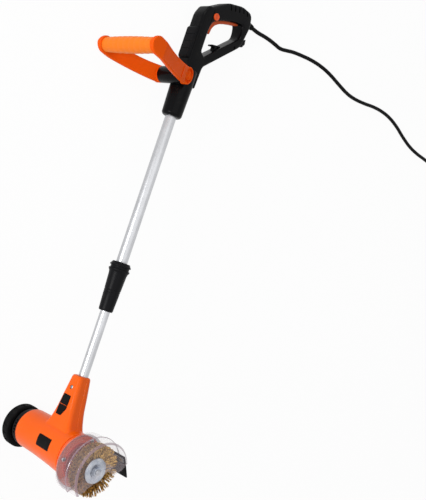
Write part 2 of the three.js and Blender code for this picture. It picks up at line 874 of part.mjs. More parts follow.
// Motor on its axis
function makeMotor() {
  const rearEnd = rearBearingAt + gap;
  const shaft = rodX(shaftRadius, rearEnd, firstPairAt, 0, motorHeight);
  const commutator = rodX(commutatorRadius, commutatorAt, commutatorAt + commutatorLength, 0, motorHeight);
  const core = rodX(coreRadius, coreAt, coreAt + coreLength, 0, motorHeight, innerFacets);
  const toIdler = Math.atan2(idlerZ - motorHeight, idlerY);
  const pinion = gear(pinionTeeth, firstPairAt - gap, firstPairWidth + 2 * gap, 0, motorHeight, toIdler);
  add("motor_armature", join(shaft, commutator, core, pinion), "copper");

  const statorProfile = [
    [coreAt, coreRadius + statorGap],
    [coreAt + coreLength, coreRadius + statorGap],
    [coreAt + coreLength, statorRadius],
    [coreAt, statorRadius],
  ];
  add("motor_stator", turned(statorProfile, 0, motorHeight, innerFacets), "steel");

  const plate = rodX(fanRadius, fanAt, fanAt + fanPlate, 0, motorHeight, innerFacets);
  const hub = rodX(fanHubRadius, fanAt, fanAt + fanLength, 0, motorHeight);
  const blades = [];
  for (let i = 0; i < fanBlades; i++) {
    const half = fanBladeWidth / 2;
    const blade = block(fanAt, fanAt + fanLength, -half, half, fanHubRadius / 2, fanRadius);
    blades.push(blade.rotate([(360 * i) / fanBlades, 0, 0]).translate([0, 0, motorHeight]));
  }
  const bore = rodX(shaftRadius + gap, fanAt - overrun, fanAt + fanLength + overrun, 0, motorHeight);
  add("cooling_fan", cut(join(plate, hub, ...blades), bore), "black");

  for (const [name, at] of [
    ["rear_motor_bearing", rearBearingAt + gap],
    ["front_motor_bearing", frontBearingAt],
  ]) {
    const width = motorBearingWidth - gap;
    const profile = [
      [at, shaftRadius + gap],
      [at + width, shaftRadius + gap],
      [at + width, motorBearingRadius],
      [at, motorBearingRadius],
    ];
    add(name, turned(profile, 0, motorHeight, fewFacets), "steel");
  }

  const middle = commutatorAt + commutatorLength / 2;
  const reach = barrelRearRadius - housingWall - 2 * gap;
  for (const [name, way] of [
    ["front_carbon_brush", -1],
    ["rear_carbon_brush", 1],
  ]) {
    const near = way * (commutatorRadius + gap);
    const far = way * Math.sqrt(reach ** 2 - (carbonWidth / 2 + 2 * gap) ** 2);
    add(
      name,
      block(
        middle - carbonLength / 2,
        middle + carbonLength / 2,
        Math.min(near, far),
        Math.max(near, far),
        motorHeight - carbonWidth / 2,
        motorHeight + carbonWidth / 2,
      ),
      "graphite",
    );
  }
}

// Gear train from the motor's pinion to the spindle
function makeGears() {
  const fromIdler = Math.atan2(motorHeight - idlerZ, -idlerY);
  const idlerPhase = fromIdler + Math.PI / idlerTeeth;
  const wheel = gear(idlerTeeth, firstPairAt, firstPairWidth, idlerY, idlerZ, idlerPhase);
  const toSpindle = Math.atan2(-idlerZ, -idlerY);
  const smallFrom = firstPairAt + firstPairWidth - gap;
  const smallWidth = secondPairAt + secondPairWidth - smallFrom;
  const small = gear(idlerPinionTeeth, smallFrom, smallWidth, idlerY, idlerZ, toSpindle);
  const pinFrom = frontBearingAt + overrun + gap;
  const pin = rodX(idlerShaftRadius, pinFrom, barrelFront - overrun - gap, idlerY, idlerZ);
  add("idler_gear", join(wheel, small, pin), "steel");

  const back = Math.atan2(idlerZ, idlerY);
  const output = gear(outputTeeth, secondPairAt, secondPairWidth, 0, 0, back + Math.PI / outputTeeth);
  const boreEnd = secondPairAt + secondPairWidth + overrun;
  const bore = rodX(spindleRadius + gap, secondPairAt - overrun, boreEnd, 0, 0);
  add("output_gear", cut(output, bore), "steel");

  const shoulderEnd = brushMiddle - brushRootHalf - bristleRingGap - hubDiscThick - gap;
  const spindleEnd = brushMiddle + brushRootHalf + hubDiscThick + gap + nutThick + spindleEndSpare;
  const shaft = rodX(spindleRadius, secondPairAt - gap, spindleEnd, 0, 0);
  const shoulder = rodX(nutRadius - gap, noseFront + runGap, shoulderEnd, 0, 0);
  add("brush_spindle", join(shaft, shoulder), "steel");

  for (const [name, at] of [
    ["inner_spindle_bearing", innerBearingAt],
    ["outer_spindle_bearing", outerBearingAt],
  ]) {
    const limit = name === "inner_spindle_bearing" ? barrelFront : noseFront;
    const end = Math.min(at + spindleBearingWidth, limit);
    const profile = [
      [at, spindleRadius + gap],
      [end - gap, spindleRadius + gap],
      [end - gap, spindleBearingRadius],
      [at, spindleBearingRadius],
    ];
    add(name, turned(profile, 0, 0, fewFacets), "steel");
  }
}

// Gear case with the flange that carries the guard
function makeGearCase() {
  const start = barrelFront + gap;
  const flangeBack = caseFlangeAt - caseFlangeEdge;
  const outer = join(
    loft([
      circleRing(start, barrelFrontHeight, barrelFrontRadius - barrelEdge / 2),
      circleRing(start + barrelEdge, barrelFrontHeight, barrelFrontRadius + barrelEdge / 4),
      circleRing(flangeBack, 0, caseFlangeRadius),
      circleRing(caseFlangeAt, 0, caseFlangeRadius),
    ]),
    rodX(noseRadius, start + barrelEdge, noseFront, 0, 0, facets),
  );
  let body = cut(
    outer,
    rodX(caseHollowRadius, start - overrun, caseHollowFront, 0, 0, facets),
    rodX(spindleBearingRadius + gap, caseHollowFront - overrun, noseFront - overrun, 0, 0),
    rodX(spindleRadius + runGap, noseFront - 2 * overrun, noseFront + overrun, 0, 0),
  );
  for (const [y, z] of guardScrewPlaces()) {
    body = cut(body, rodX(screwRadius + gap, caseFlangeAt - screwLength + gap, caseFlangeAt + overrun, y, z));
  }
  add("gear_case", body, "shadeOrange");
}

const guardScrewPlaces = () =>
  guardScrewTurns.map((turn) => [guardScrewAtRadius * Math.cos(turn), guardScrewAtRadius * Math.sin(turn)]);

// Wire brush: two pressed discs hold the ring that the wires stand in.
function hubDisc(side) {
  const inner = brushMiddle + side * (brushRootHalf + bristleRingGap);
  const outer = inner + side * hubDiscThick;
  const bore = spindleRadius + gap;
  const ring = hubDiscRadius - hubDiscEdge;
  const profile = [
    [inner, bore],
    [outer, bore],
    [outer, nutRadius + 2 * gap],
    [outer + side * hubDiscThick, ring],
    [outer, hubDiscRadius],
    [inner, hubDiscRadius],
  ];
  return turned(profile, 0, 0);
}

function makeBrush() {
  add("inner_hub_disc", hubDisc(-1), "steel");
  add("outer_hub_disc", hubDisc(1), "steel");

  const ring = turned(
    [
      [brushMiddle - brushRootHalf, bristleRootRadius],
      [brushMiddle + brushRootHalf, bristleRootRadius],
      [brushMiddle + brushRootHalf, bristleRingRadius],
      [brushMiddle - brushRootHalf, bristleRingRadius],
    ],
    0,
    0,
    bristleRingSides,
  );
  const strands = [];
  for (let row = 0; row < bristleRows; row++) {
    const share = (2 * row) / (bristleRows - 1) - 1;
    const rootX = brushMiddle + share * (brushRootHalf - 2 * bristleHalf);
    const tipX = brushMiddle + share * brushTipHalf;
    for (let i = 0; i < bristlesPerRow; i++) {
      const shift = row % 2 ? bristleStagger : -bristleStagger;
      const turn = ((i + 0.5 + shift) / bristlesPerRow) * fullTurn;
      strands.push(strand(rootX, tipX, turn));
    }
  }
  const wires = wasm.Manifold.union([ring, ...strands]);
  add("wire_bristles", wires, "brass");

  const nutAt = brushMiddle + brushRootHalf + bristleRingGap + hubDiscThick + gap;
  const nut = cut(
    rodX(nutRadius, nutAt, nutAt + nutThick, 0, 0, 6),
    rodX(spindleRadius + gap, nutAt - overrun, nutAt + nutThick + overrun, 0, 0),
  );
  add("spindle_nut", nut, "steel");
}

// One three-sided wire from the ring to its tip.
function strand(rootX, tipX, turn) {
  const out = [0, Math.cos(turn), Math.sin(turn)];
  const round = [0, -Math.sin(turn), Math.cos(turn)];
  const ring = (x, radius) =>
    [0, 1, 2].map((side) => {
      const angle = (side / 3) * fullTurn;
      const across = bristleHalf * Math.cos(angle);
      const around = bristleHalf * Math.sin(angle);
      return [x + across, out[1] * radius + round[1] * around, out[2] * radius + round[2] * around];
    });
  const tip = [tipX, out[1] * brushRadius, out[2] * brushRadius];
  return loft([ring(rootX, bristleRingRadius - 2 * bristleHalf), [tip]]);
}

// Clear guard: a turned shell, cut open towards the ground.
function makeGuard() {
  const back = caseFlangeAt + gap;
  const shoulderEnd = back + guardShoulder;
  const outer = [
    [back, noseRadius + gap],
    [back, caseFlangeRadius],
    [back + guardShoulder / 2, (caseFlangeRadius + guardRadius + guardCorner) / 2],
    [shoulderEnd + guardCorner, guardRadius],
    [beadAt - beadHalf, guardRadius],
    [beadAt, guardRadius + beadHeight],
    [beadAt + beadHalf, guardRadius],
    [guardFront - guardCorner, guardRadius],
    [guardFront, guardRadius - guardCorner],
    [guardFront, ribRingRadius + ribRingWidth],
    [guardFront + ribRingHeight, ribRingRadius],
    [guardFront, ribRingRadius - ribRingWidth],
    [guardFront, 0],
  ];
  const inner = [
    [guardFront - guardWall, 0],
    [guardFront - guardWall, guardRadius - guardWall],
    [shoulderEnd + guardCorner + guardWall / 2, guardRadius - guardWall],
    [back + guardShoulder / 2 + guardWall, (caseFlangeRadius + guardRadius) / 2 - guardWall / 2],
    [back + guardWall, caseFlangeRadius - guardWall],
    [back + guardWall, noseRadius + gap],
  ];
  const shell = turned([...outer, ...inner], 0, 0, guardFacets);
  const mouth = guardMouthShares.map(([y, z]) => [y * guardRadius, z * guardRadius]);
  const removed = plateYZ(mouth, back + guardWall + gap, guardFront + overrun * 2);
  let guard = cut(shell, removed);
  for (const [y, z] of guardScrewPlaces()) {
    guard = cut(guard, rodX(screwRadius + gap, back - overrun, back + guardWall + overrun, y, z));
  }
  add("clear_guard", largest(guard), "clear");
  guardScrewPlaces().forEach(([y, z], i) => {
    const seat = back + guardWall + gap;
    const head = rodX(guardScrewRadius, seat, seat + guardScrewHead, y, z);
    const shank = rodX(screwRadius, seat + guardScrewHead / 2 - screwLength, seat + guardScrewHead / 2, y, z);
    add("guard_screw_" + (i + 1), join(head, shank), "steel");
  });
}

// Rubber flap: it follows the inside of the guard's wall and hangs on from the wall's end.
function arcPoints(radius, from, to, steps) {
  return Array.from({ length: steps + 1 }, (_, i) => {
    const turn = from + ((to - from) * i) / steps;
    return [radius * Math.cos(turn), radius * Math.sin(turn)];
  });
}

function makeFlap() {
  const outer = guardRadius - guardWall - gap;
  const inner = outer - flapThick;
  const hang = (radius) => {
    const [y, z] = [radius * Math.cos(flapBend), radius * Math.sin(flapBend)];
    return [y + flapLength * Math.cos(flapLean), z - flapLength * Math.sin(flapLean)];
  };
  const outline = [
    ...arcPoints(outer, flapStart, flapBend, flapSteps),
    hang(outer),
    hang(inner),
    ...arcPoints(inner, flapBend, flapStart, flapSteps),
  ];
  add("rubber_flap", plateYZ(outline, flapNear, flapFar), "rubber");
  const top = inner - gap;
  const strip = [
    ...arcPoints(top, stripStart, stripEnd, stripSteps),
    ...arcPoints(top - stripThick, stripEnd, stripStart, stripSteps),
  ];
  add("flap_strip", plateYZ(strip, flapNear + stripMargin, flapFar - stripMargin), "steel");
}

// Rear cap, axle and support wheel
function makeWheel() {
  const capFront = barrelRear - gap;
  const capBack = capFront - capDepth;
  let cap = turned(
    [
      [capFront, 0],
      [capFront, capRadius],
      [capBack + capEdge, capRadius],
      [capBack, capRadius - capEdge],
      [capBack, 0],
    ],
    0,
    capHeight,
  );
  cap = cut(cap, rodX(axleRadius + gap, capBack - overrun, capBack + axleInCap + gap, 0, wheelHeight));
  for (let i = 0; i < capVents; i++) {
    const z = capHeight + (i - (capVents - 1) / 2) * 2 * capVentWidth;
    const from = capBack + capEdge + capVentWidth;
    const to = capFront - capVentWidth;
    for (const way of [-1, 1]) {
      const ends = [way * (capRadius - capVentDepth), way * (capRadius + overrun)];
      const vent = block(from, to, Math.min(...ends), Math.max(...ends), -capVentWidth / 2, capVentWidth / 2);
      cap = cut(cap, vent.translate([0, 0, z]));
    }
  }
  add("rear_end_cap", cap, "black");

  const wheelFar = wheelNear - wheelWidth;
  const headSeat = wheelFar + axleHeadThick + 2 * gap;
  add(
    "wheel_axle_bolt",
    join(
      rodX(axleRadius, headSeat - gap, capBack + axleInCap, 0, wheelHeight),
      rodX(axleHeadRadius, wheelFar + gap, headSeat - gap, 0, wheelHeight),
    ),
    "steel",
  );

  const rim = wheelRadius - tyreDepth - gap;
  const nearFace = wheelNear + gap;
  let hub = turned(
    [
      [nearFace, axleRadius + gap],
      [nearFace, hubBoss],
      [nearFace - (wheelWidth - hubWeb) / 2, rim - hubWeb / 2],
      [nearFace - gap, rim],
      [wheelFar + gap, rim],
      [wheelFar + gap, rim - hubWeb / 2],
      [wheelFar + (wheelWidth - hubWeb) / 2, rim - hubWeb / 2],
      [wheelFar + (wheelWidth - hubWeb) / 2, hubBoss],
      [headSeat + gap / 2, hubBoss],
      [headSeat + gap / 2, axleRadius + gap],
    ],
    0,
    wheelHeight,
  );
  add("wheel_hub", hub, "black");

  let tyre = turned(
    [
      [wheelNear, rim + gap],
      [wheelNear, wheelRadius - wheelEdge],
      [wheelNear - wheelEdge, wheelRadius],
      [wheelFar + wheelEdge, wheelRadius],
      [wheelFar, wheelRadius - wheelEdge],
      [wheelFar, rim + gap],
    ],
    0,
    wheelHeight,
    2 * treadRibs,
  );
  for (let i = 0; i < treadRibs; i++) {
    const width = (fullTurn * wheelRadius * treadShare) / treadRibs;
    const notch = block(
      wheelFar + wheelEdge,
      wheelNear - wheelEdge,
      -width / 2,
      width / 2,
      wheelRadius - treadDepth,
      wheelRadius + overrun,
    );
    tyre = cut(tyre, notch.rotate([(360 * i) / treadRibs, 0, 0]).translate([0, 0, wheelHeight]));
  }
  add("wheel_tyre", tyre, "rubber");
}

// Tubes and twist collar
function makeTubes() {
  const bore = lowerTubeRadius - tubeWall;
  add("lower_tube", tubeZ(lowerTubeRadius, bore, lowerTubeFoot, lowerTubeTop), "aluminium");
  const bushTop = collarFoot + collarBushFoot + collarBushLength;
  const upperFoot = bushTop + gap;
  const upperBore = lowerTubeRadius + runGap;
  add("upper_tube", tubeZ(upperTubeRadius, upperBore, upperFoot, upperTubeTop), "aluminium");
  const bushOuter = upperTubeRadius + collarBushWall - gap;
  add("collar_bush", tubeZ(bushOuter, upperBore, collarFoot + collarBushFoot, bushTop, innerFacets), "white");

  const collarTop = collarFoot + collarLength;
  const bodyTop = collarFoot + collarLength * collarBodyShare;
  const flangeStep = (collarTop - bodyTop) / 4;
  const inner = bushOuter + runGap;
  const profile = [
    [collarFoot, inner - collarBushWall],
    [collarFoot, collarFootRadius - collarFootEdge / 2],
    [collarFoot + collarFootEdge, collarFootRadius],
    [bodyTop, collarBodyRadius],
    [bodyTop + flangeStep, collarFlangeRadius],
    [bodyTop + flangeStep + collarFlangeThick, collarFlangeRadius],
    [bodyTop + flangeStep + collarFlangeThick, collarNeckRadius],
    [bodyTop + 2 * flangeStep + collarFlangeThick, collarNeckRadius],
    [bodyTop + 2 * flangeStep + collarFlangeThick, collarFlangeRadius],
    [bodyTop + 2 * flangeStep + 2 * collarFlangeThick, collarFlangeRadius],
    [collarTop, collarTopRadius],
    [collarTop, upperTubeRadius + runGap],
    [bushTop + collarLip, upperTubeRadius + runGap],
    [bushTop + collarLip - gap, inner],
    [collarFoot + collarBushFoot - gap, inner],
  ];
  let sleeve = turned(profile, 0, 0);
  sleeve = sleeve.rotate([0, -90, 0]);
  add("twist_collar", sleeve, "black");
}

// Handle body outline in Y and Z
function handleOutline() {
  const corners = [
    [spineFront, padFoot - sleeveEdge * 2],
    [spineFront, spineTop - 4 * sleeveEdge],
    [spineFront / 2, spineTop],
    [gripFront, spineTop + handleRound / 2],
    [(gripFront + gripRear) / 3, gripTop - 2 * handleRound],
    [(2 * (gripFront + gripRear)) / 3, gripTop - handleRound / 8],
    [gripRear - handleRound, gripTop - handleRound / 4],
    [gripRear, gripTop - 4 * handleRound],
    [gripRear - handleRound * 1.3, postFoot],
    [strutBack + handleRound / 3, strutFoot],
    [strutBack, sleeveTop - 4 * handleRound],
    [spineFront, sleeveTop - 4 * handleRound],
  ];
  const radii = corners.map(() => handleRound + overrun);
  radii[1] = 3 * handleRound;
  radii[4] = 2 * handleRound;
  radii[5] = 2 * handleRound;
  radii[6] = 2 * handleRound;
  radii[10] = 0;
  radii[11] = 0;
  return roundedOutline(corners, radii);
}

function openingOutline() {
  const corners = [
    [openingFront, openingFoot + 3 * handleRound],
    [openingFront, gripUnder - 4 * handleRound],
    [openingFront + handleRound / 2, gripUnder - 2 * handleRound],
    [openingFront + 2 * handleRound, gripUnder - handleRound / 2],
    [openingFront + 5.6 * handleRound, gripUnder + 1.3 * handleRound],
    [openingBack - 3.2 * handleRound, openingTop - 1.5 * handleRound],
    [openingBack - 0.6 * handleRound, openingTop - handleRound],
    [openingBack, openingTop - 3 * handleRound],
    [openingBack, postFoot + 2 * handleRound],
    [openingFront + handleRound * 1.5, openingFoot],
    [openingFront, openingFoot + handleRound],
  ];
  const radii = corners.map(() => handleRound);
  radii[9] = handleRound / 2;
  radii[10] = handleRound / 2;
  return roundedOutline(corners, radii);
}

function triggerOutline(grow) {
  const lower = [
    [triggerTipY, triggerTipZ - grow],
    [triggerTipY + triggerBend / 8, triggerTipZ + triggerBend - grow / 2],
    [triggerTipY + triggerBend / 2, triggerTipZ + 1.75 * triggerBend - grow],
    [triggerTipY + 1.35 * triggerBend, triggerTipZ + 2.45 * triggerBend - grow],
    [triggerTipY + 2.85 * triggerBend, triggerTipZ + 3.2 * triggerBend - grow],
    [triggerPivotY, triggerPivotZ - 1.1 * triggerThick - grow],
    [triggerPivotY + triggerThick / 2 + grow, triggerPivotZ],
  ];
  const upper = [
    [triggerPivotY, triggerPivotZ + 0.3 * triggerThick + grow],
    [triggerTipY + 2.85 * triggerBend, triggerTipZ + 3.2 * triggerBend + 1.4 * triggerThick + grow],
    [triggerTipY + 1.35 * triggerBend, triggerTipZ + 2.45 * triggerBend + 1.4 * triggerThick + grow],
    [triggerTipY - triggerBend / 4, triggerTipZ + 2.2 * triggerBend + grow],
    [triggerTipY - triggerThick / 2 - grow, triggerTipZ + triggerBend],
    [triggerTipY - triggerThick / 2 - grow, triggerTipZ - grow],
  ];
  return [...lower, ...upper];
}

// A sleeve round the upper tube at the handle's foot
function sleeveBody(radius, edge) {
  const profile = [
    [handleFoot, 0],
    [handleFoot, radius - edge],
    [handleFoot + edge, radius],
    [sleeveTop - 4 * handleRound, radius + sleeveFlare],
    [sleeveTop, radius + sleeveFlare],
    [sleeveTop + edge, radius - edge],
    [sleeveTop + edge, 0],
  ];
  return turned(profile, 0, 0).rotate([0, -90, 0]);
}

function handleBody() {
  const slab = plateYZ(handleOutline(), -handleHalf, handleHalf, handleBevel, 2);
  let body = join(slab, sleeveBody(collarSleeveRadius, sleeveEdge));
  const hub = rodX(hubRadius, -hubHalf, hubHalf, pivotY, pivotZ, facets);
  const web = block(-hubRadius, hubRadius, pivotY, 0, pivotZ - hubRadius / 2, pivotZ + hubRadius / 2);
  body = join(body, hub, web);
  body = cut(body, plateYZ(openingOutline(), -handleHalf - overrun, handleHalf + overrun));
  // Cord hook on the strut, in the opening
  const lean = strutLean();
  const tilt = lean * hookReach * hookTiltShare;
  const hookBar = plateYZ(
    [
      [hookY - hookReach, hookZ - tilt],
      [hookY + hookReach, hookZ + tilt],
      [hookY + hookReach, hookZ + tilt + hookThick],
      [hookY - hookReach, hookZ - tilt + hookThick],
    ],
    -hookHalf,
    hookHalf,
  );
  const hookStem = plateYZ(
    [
      [hookY - hookThick / 2, hookZ - hookRise],
      [hookY + 2 * hookThick, hookZ - hookRise],
      [hookY + hookThick, hookZ + hookThick],
      [hookY - hookThick, hookZ + hookThick],
    ],
    -hookHalf,
    hookHalf,
  );
  return join(body, hookBar, hookStem);
}

function makeHandle() {
  let body = handleBody();
  const outerHalf = handleHalf + overrun;
  // Bore for the tube and the lead above it
  body = cut(body, rodZ(upperTubeRadius + gap, handleFoot - overrun, upperTubeTop + gap, 0, 0, facets));
  body = cut(body, rodZ(leadRadius + runGap, upperTubeTop, spineTop - 3 * handleWall, leadSide, 0));
  // Hollow of the grip, for the switch and the trigger
  const hollow = plateYZ(gripHollow(), -handleHalf + handleWall, handleHalf - handleWall);
  body = cut(body, hollow);
  const slotHalf = triggerHalf + triggerSlotGap;
  const pivotTurn = -triggerTravel;
  const sweep = [0, 1].map((share) => {
    const plate = plateYZ(triggerOutline(triggerSlotGap), -slotHalf, slotHalf);
    return plate
      .translate([0, -triggerPivotY, -triggerPivotZ])
      .rotate([(pivotTurn * share * 180) / Math.PI, 0, 0])
      .translate([0, triggerPivotY, triggerPivotZ]);
  });
  body = cut(body, ...sweep);
  body = cut(
    body,
    block(
      -switchWidth / 2 - gap,
      switchWidth / 2 + gap,
      switchY - gap,
      switchY + switchLength + gap,
      switchTop - switchDepth - gap,
      switchTop + gap,
    ),
    rodX(triggerPinRadius + gap, -triggerPinHalf - gap, triggerPinHalf + gap, triggerPivotY, triggerPivotZ),
  );
  // Seats of the button, the bolt, the soft cover, the spine pad, the strain relief and the screws
  body = cut(body, rodX(buttonRadius + runGap, 0, outerHalf, buttonY, buttonZ));
  body = cut(body, rodX(boltRadius + gap, -hubHalf - overrun, hubHalf + overrun, pivotY, pivotZ));
  body = cut(body, plateYZ(coverOutline(gap), -outerHalf, outerHalf));
  body = cut(body, padBody(gap));
  const exitHalf = reliefRadius + gap;
  body = cut(body, rodY(exitHalf, gripRear - 3 * handleRound, gripRear + 2 * overrun, 0, exitZ, facets));
  // Channels along the strut and a line between spine and grip
  for (const side of [-1, 1]) {
    const face = side * handleHalf;
    const near = Math.min(face, face - side * channelDepth);
    const far = Math.max(face, face - side * channelDepth);
    const from = side > 0 ? near : near - overrun;
    const to = side > 0 ? far + overrun : far;
    body = cut(body, plateYZ(channelOutline(), from, to));
    const groove = block(
      Math.min(face - side * spineGrooveDepth, face + side * overrun),
      Math.max(face - side * spineGrooveDepth, face + side * overrun),
      spineGrooveY,
      spineGrooveY + spineGrooveWidth,
      padTop,
      spineTop + handleRound,
    );
    body = cut(body, groove);
  }
  for (const [y, z] of handleScrewPlaces()) {
    const face = -handleHalf;
    body = cut(
      body,
      rodX(screwHeadRadius + gap, face - overrun, face + screwSink + screwHead, y, z),
      rodX(screwRadius + gap, face, face + screwSink + screwHead + handleScrewLength + gap, y, z),
    );
  }
  const big = 2 * spineTop;
  const left = body.intersect(block(-big, -gap / 2, -big, big, 0, big));
  const right = body.intersect(block(gap / 2, big, -big, big, 0, big));
  add("left_handle_shell", largest(left), "black");
  add("right_handle_shell", largest(right), "black");
  handleScrewPlaces().forEach(([y, z], i) => {
    add("handle_screw_" + (i + 1), screwAlongX(y, z, screwSink - handleHalf, 1, handleScrewLength), "steel");
  });
}

const handleScrewPlaces = () => [
  [spineFront + 1.4 * handleRound, upperTubeTop + 2 * screwHeadRadius],
  [openingBack + 1.5 * handleRound, gripUnder],
  [openingFront + 4 * handleRound, spineTop + 1.6 * handleRound],
];

function gripHollow() {
  return [
    [openingFront, gripUnder - handleRound],
    [openingFront, spineTop - handleRound],
    [openingFront + 4 * handleRound, spineTop + handleRound],
    [openingFront + 8 * handleRound, spineTop + 3.6 * handleRound],
    [triggerPivotY + handleRound, gripTop - 2.4 * handleRound],
    [triggerPivotY + handleRound, triggerPivotZ + triggerPinRadius + handleWall],
    [triggerPivotY - handleRound, triggerPivotZ + triggerPinRadius + handleWall / 2],
    [openingFront + 7 * handleRound, gripUnder + 3.2 * handleRound],
    [openingFront + 3 * handleRound, gripUnder + handleWall],
  ];
}

// Slope of the strut along Y
function strutLean() {
  return (postFoot - strutFoot) / (gripRear - 1.3 * handleRound - strutBack);
}

function channelOutline() {
  const lean = strutLean();
  const low = [strutBack + 2.5 * handleRound, strutFoot + 2.5 * handleRound];
  const high = [gripRear - 3.4 * handleRound, low[1] + lean * (gripRear - 3.4 * handleRound - low[0])];
  const wide = handleRound;
  return [low, high, [high[0] - wide / 2, high[1] + wide], [low[0] - wide / 2, low[1] + wide]];
}

function coverOutline(grow) {
  const top = grow > 0 ? overrun + coverThick : 0;
  return [
    [gripFront - grow, spineTop + handleRound / 2 - coverDepth - grow],
    [(gripFront + gripRear) / 3, gripTop - 2 * handleRound - coverDepth - grow],
    [(2 * (gripFront + gripRear)) / 3, gripTop - handleRound / 8 - coverDepth - grow],
    [gripRear - handleRound, gripTop - handleRound / 4 - coverDepth - grow],
    [gripRear + top, gripTop - handleRound / 4 - coverDepth - grow],
    [gripRear + top, gripTop + top],
    [gripFront - grow, gripTop + top],
  ];
}

// Soft cover: the top band of the grip's own shape, with slanted grooves.
function makeSoftParts() {
  const slab = plateYZ(handleOutline(), -handleHalf, handleHalf, handleBevel, 2);
  let cover = slab.intersect(plateYZ(coverOutline(0), -2 * handleHalf, 2 * handleHalf));
  const low = [(gripFront + gripRear) / 4, spineTop + 2 * handleRound];
  for (let i = 0; i < coverGrooves; i++) {
    const share = (i + 0.5) / coverGrooves;
    const y = low[0] + share * (gripRear - 3 * handleRound - low[0]);
    const groove = block(
      -2 * handleHalf,
      2 * handleHalf,
      -coverGrooveWidth / 2,
      coverGrooveWidth / 2,
      gripTopAt(y) - coverGrooveDepth,
      gripTop + handleRound,
    );
    cover = cut(cover, groove.translate([0, y, 0]));
  }
  add("soft_grip_cover", largest(cover), "softBlack");
  add("front_grip_pad", largest(padBody(0)), "softBlack");
}

// Height of the grip's top along Y, as straight runs between its outline's corners.
function gripTopAt(y) {
  const line = [
    [gripFront, spineTop + handleRound / 2],
    [(gripFront + gripRear) / 3, gripTop - 2 * handleRound],
    [(2 * (gripFront + gripRear)) / 3, gripTop - handleRound / 8],
    [gripRear, gripTop - handleRound / 4],
  ];
  const at = line.findIndex(([edge]) => y < edge);
  const [y0, z0] = line[at - 1];
  const [y1, z1] = line[at];
  return z0 + ((z1 - z0) * (y - y0)) / (y1 - y0);
}

function padBody(grow) {
  const outline = roundedOutline(
    [
      [spineFront - padThick - grow, padFoot + padRound - grow],
      [spineFront - padThick - grow, padTop - padRound + grow],
      [spineFront + padThick + grow, padTop + grow],
      [spineFront + padThick + grow, padFoot - grow],
    ],
    [padRound + overrun, padRound + overrun, 0, 0],
  );
  return plateYZ(outline, -padHalf - grow, padHalf + grow, padRound, 2);
}

function makeTrigger() {
  const trigger = plateYZ(triggerOutline(0), -triggerHalf, triggerHalf);
  const boreEnd = triggerHalf + overrun;
  const bore = rodX(triggerPinRadius + gap, -boreEnd, boreEnd, triggerPivotY, triggerPivotZ);
  add("trigger", cut(trigger, bore), "shadeOrange");
  const pin = rodX(triggerPinRadius, -triggerPinHalf, triggerPinHalf, triggerPivotY, triggerPivotZ);
  add("trigger_pin", pin, "steel");
  const button = turned(
    [
      [handleHalf - buttonLength, 0],
      [handleHalf - buttonLength, buttonRadius],
      [handleHalf + buttonProud - buttonEdge, buttonRadius],
      [handleHalf + buttonProud, buttonRadius - buttonEdge],
      [handleHalf + buttonProud, 0],
    ],
    buttonY,
    buttonZ,
    fewFacets,
  );
  add("lock_off_button", button, "orange");
}

// Switch and leads
function makeElectrics() {
  const switchFoot = switchTop - switchDepth;
  add(
    "trigger_switch",
    block(-switchWidth / 2, switchWidth / 2, switchY, switchY + switchLength, switchFoot, switchTop),
    "black",
  );
  const leadFoot = lowerTubeTop + telescopeRetract + overrun;
  add("upper_lead", rodZ(leadRadius, leadFoot, spineTop - 4 * handleWall, leadSide, 0, leadSides), "black");
  const lowX = -(lowerTubeRadius - tubeWall - leadRadius - gap);
  add("lower_lead", rodZ(leadRadius, lowerTubeFoot + gap, lowerTubeTop - gap, lowX, 0, leadSides), "black");
}

// Front handle: two flat straps run out from the hub and end in discs round the bar.
function strapStations() {
  const bossMiddle = hubHalf + gap + bossWidth / 2;
  const stations = strapShares.map((share) => ({
    centre: [
      bossMiddle + (strapX - bossMiddle) * Math.min(1, share / strapStraightShare),
      pivotY + (barY - pivotY) * share,
      pivotZ + (barZ - pivotZ) * share - strapSag * 4 * share * (1 - share),
    ],
    high: strapHigh - strapWaist * Math.sin(Math.PI * share),
  }));
  for (const share of strapEndShares) {
    const turn = (share * Math.PI) / 2;
    stations.push({
      centre: [strapX, barY - strapHigh * Math.sin(turn), barZ],
      high: strapHigh * Math.cos(turn),
    });
  }
  return stations;
}

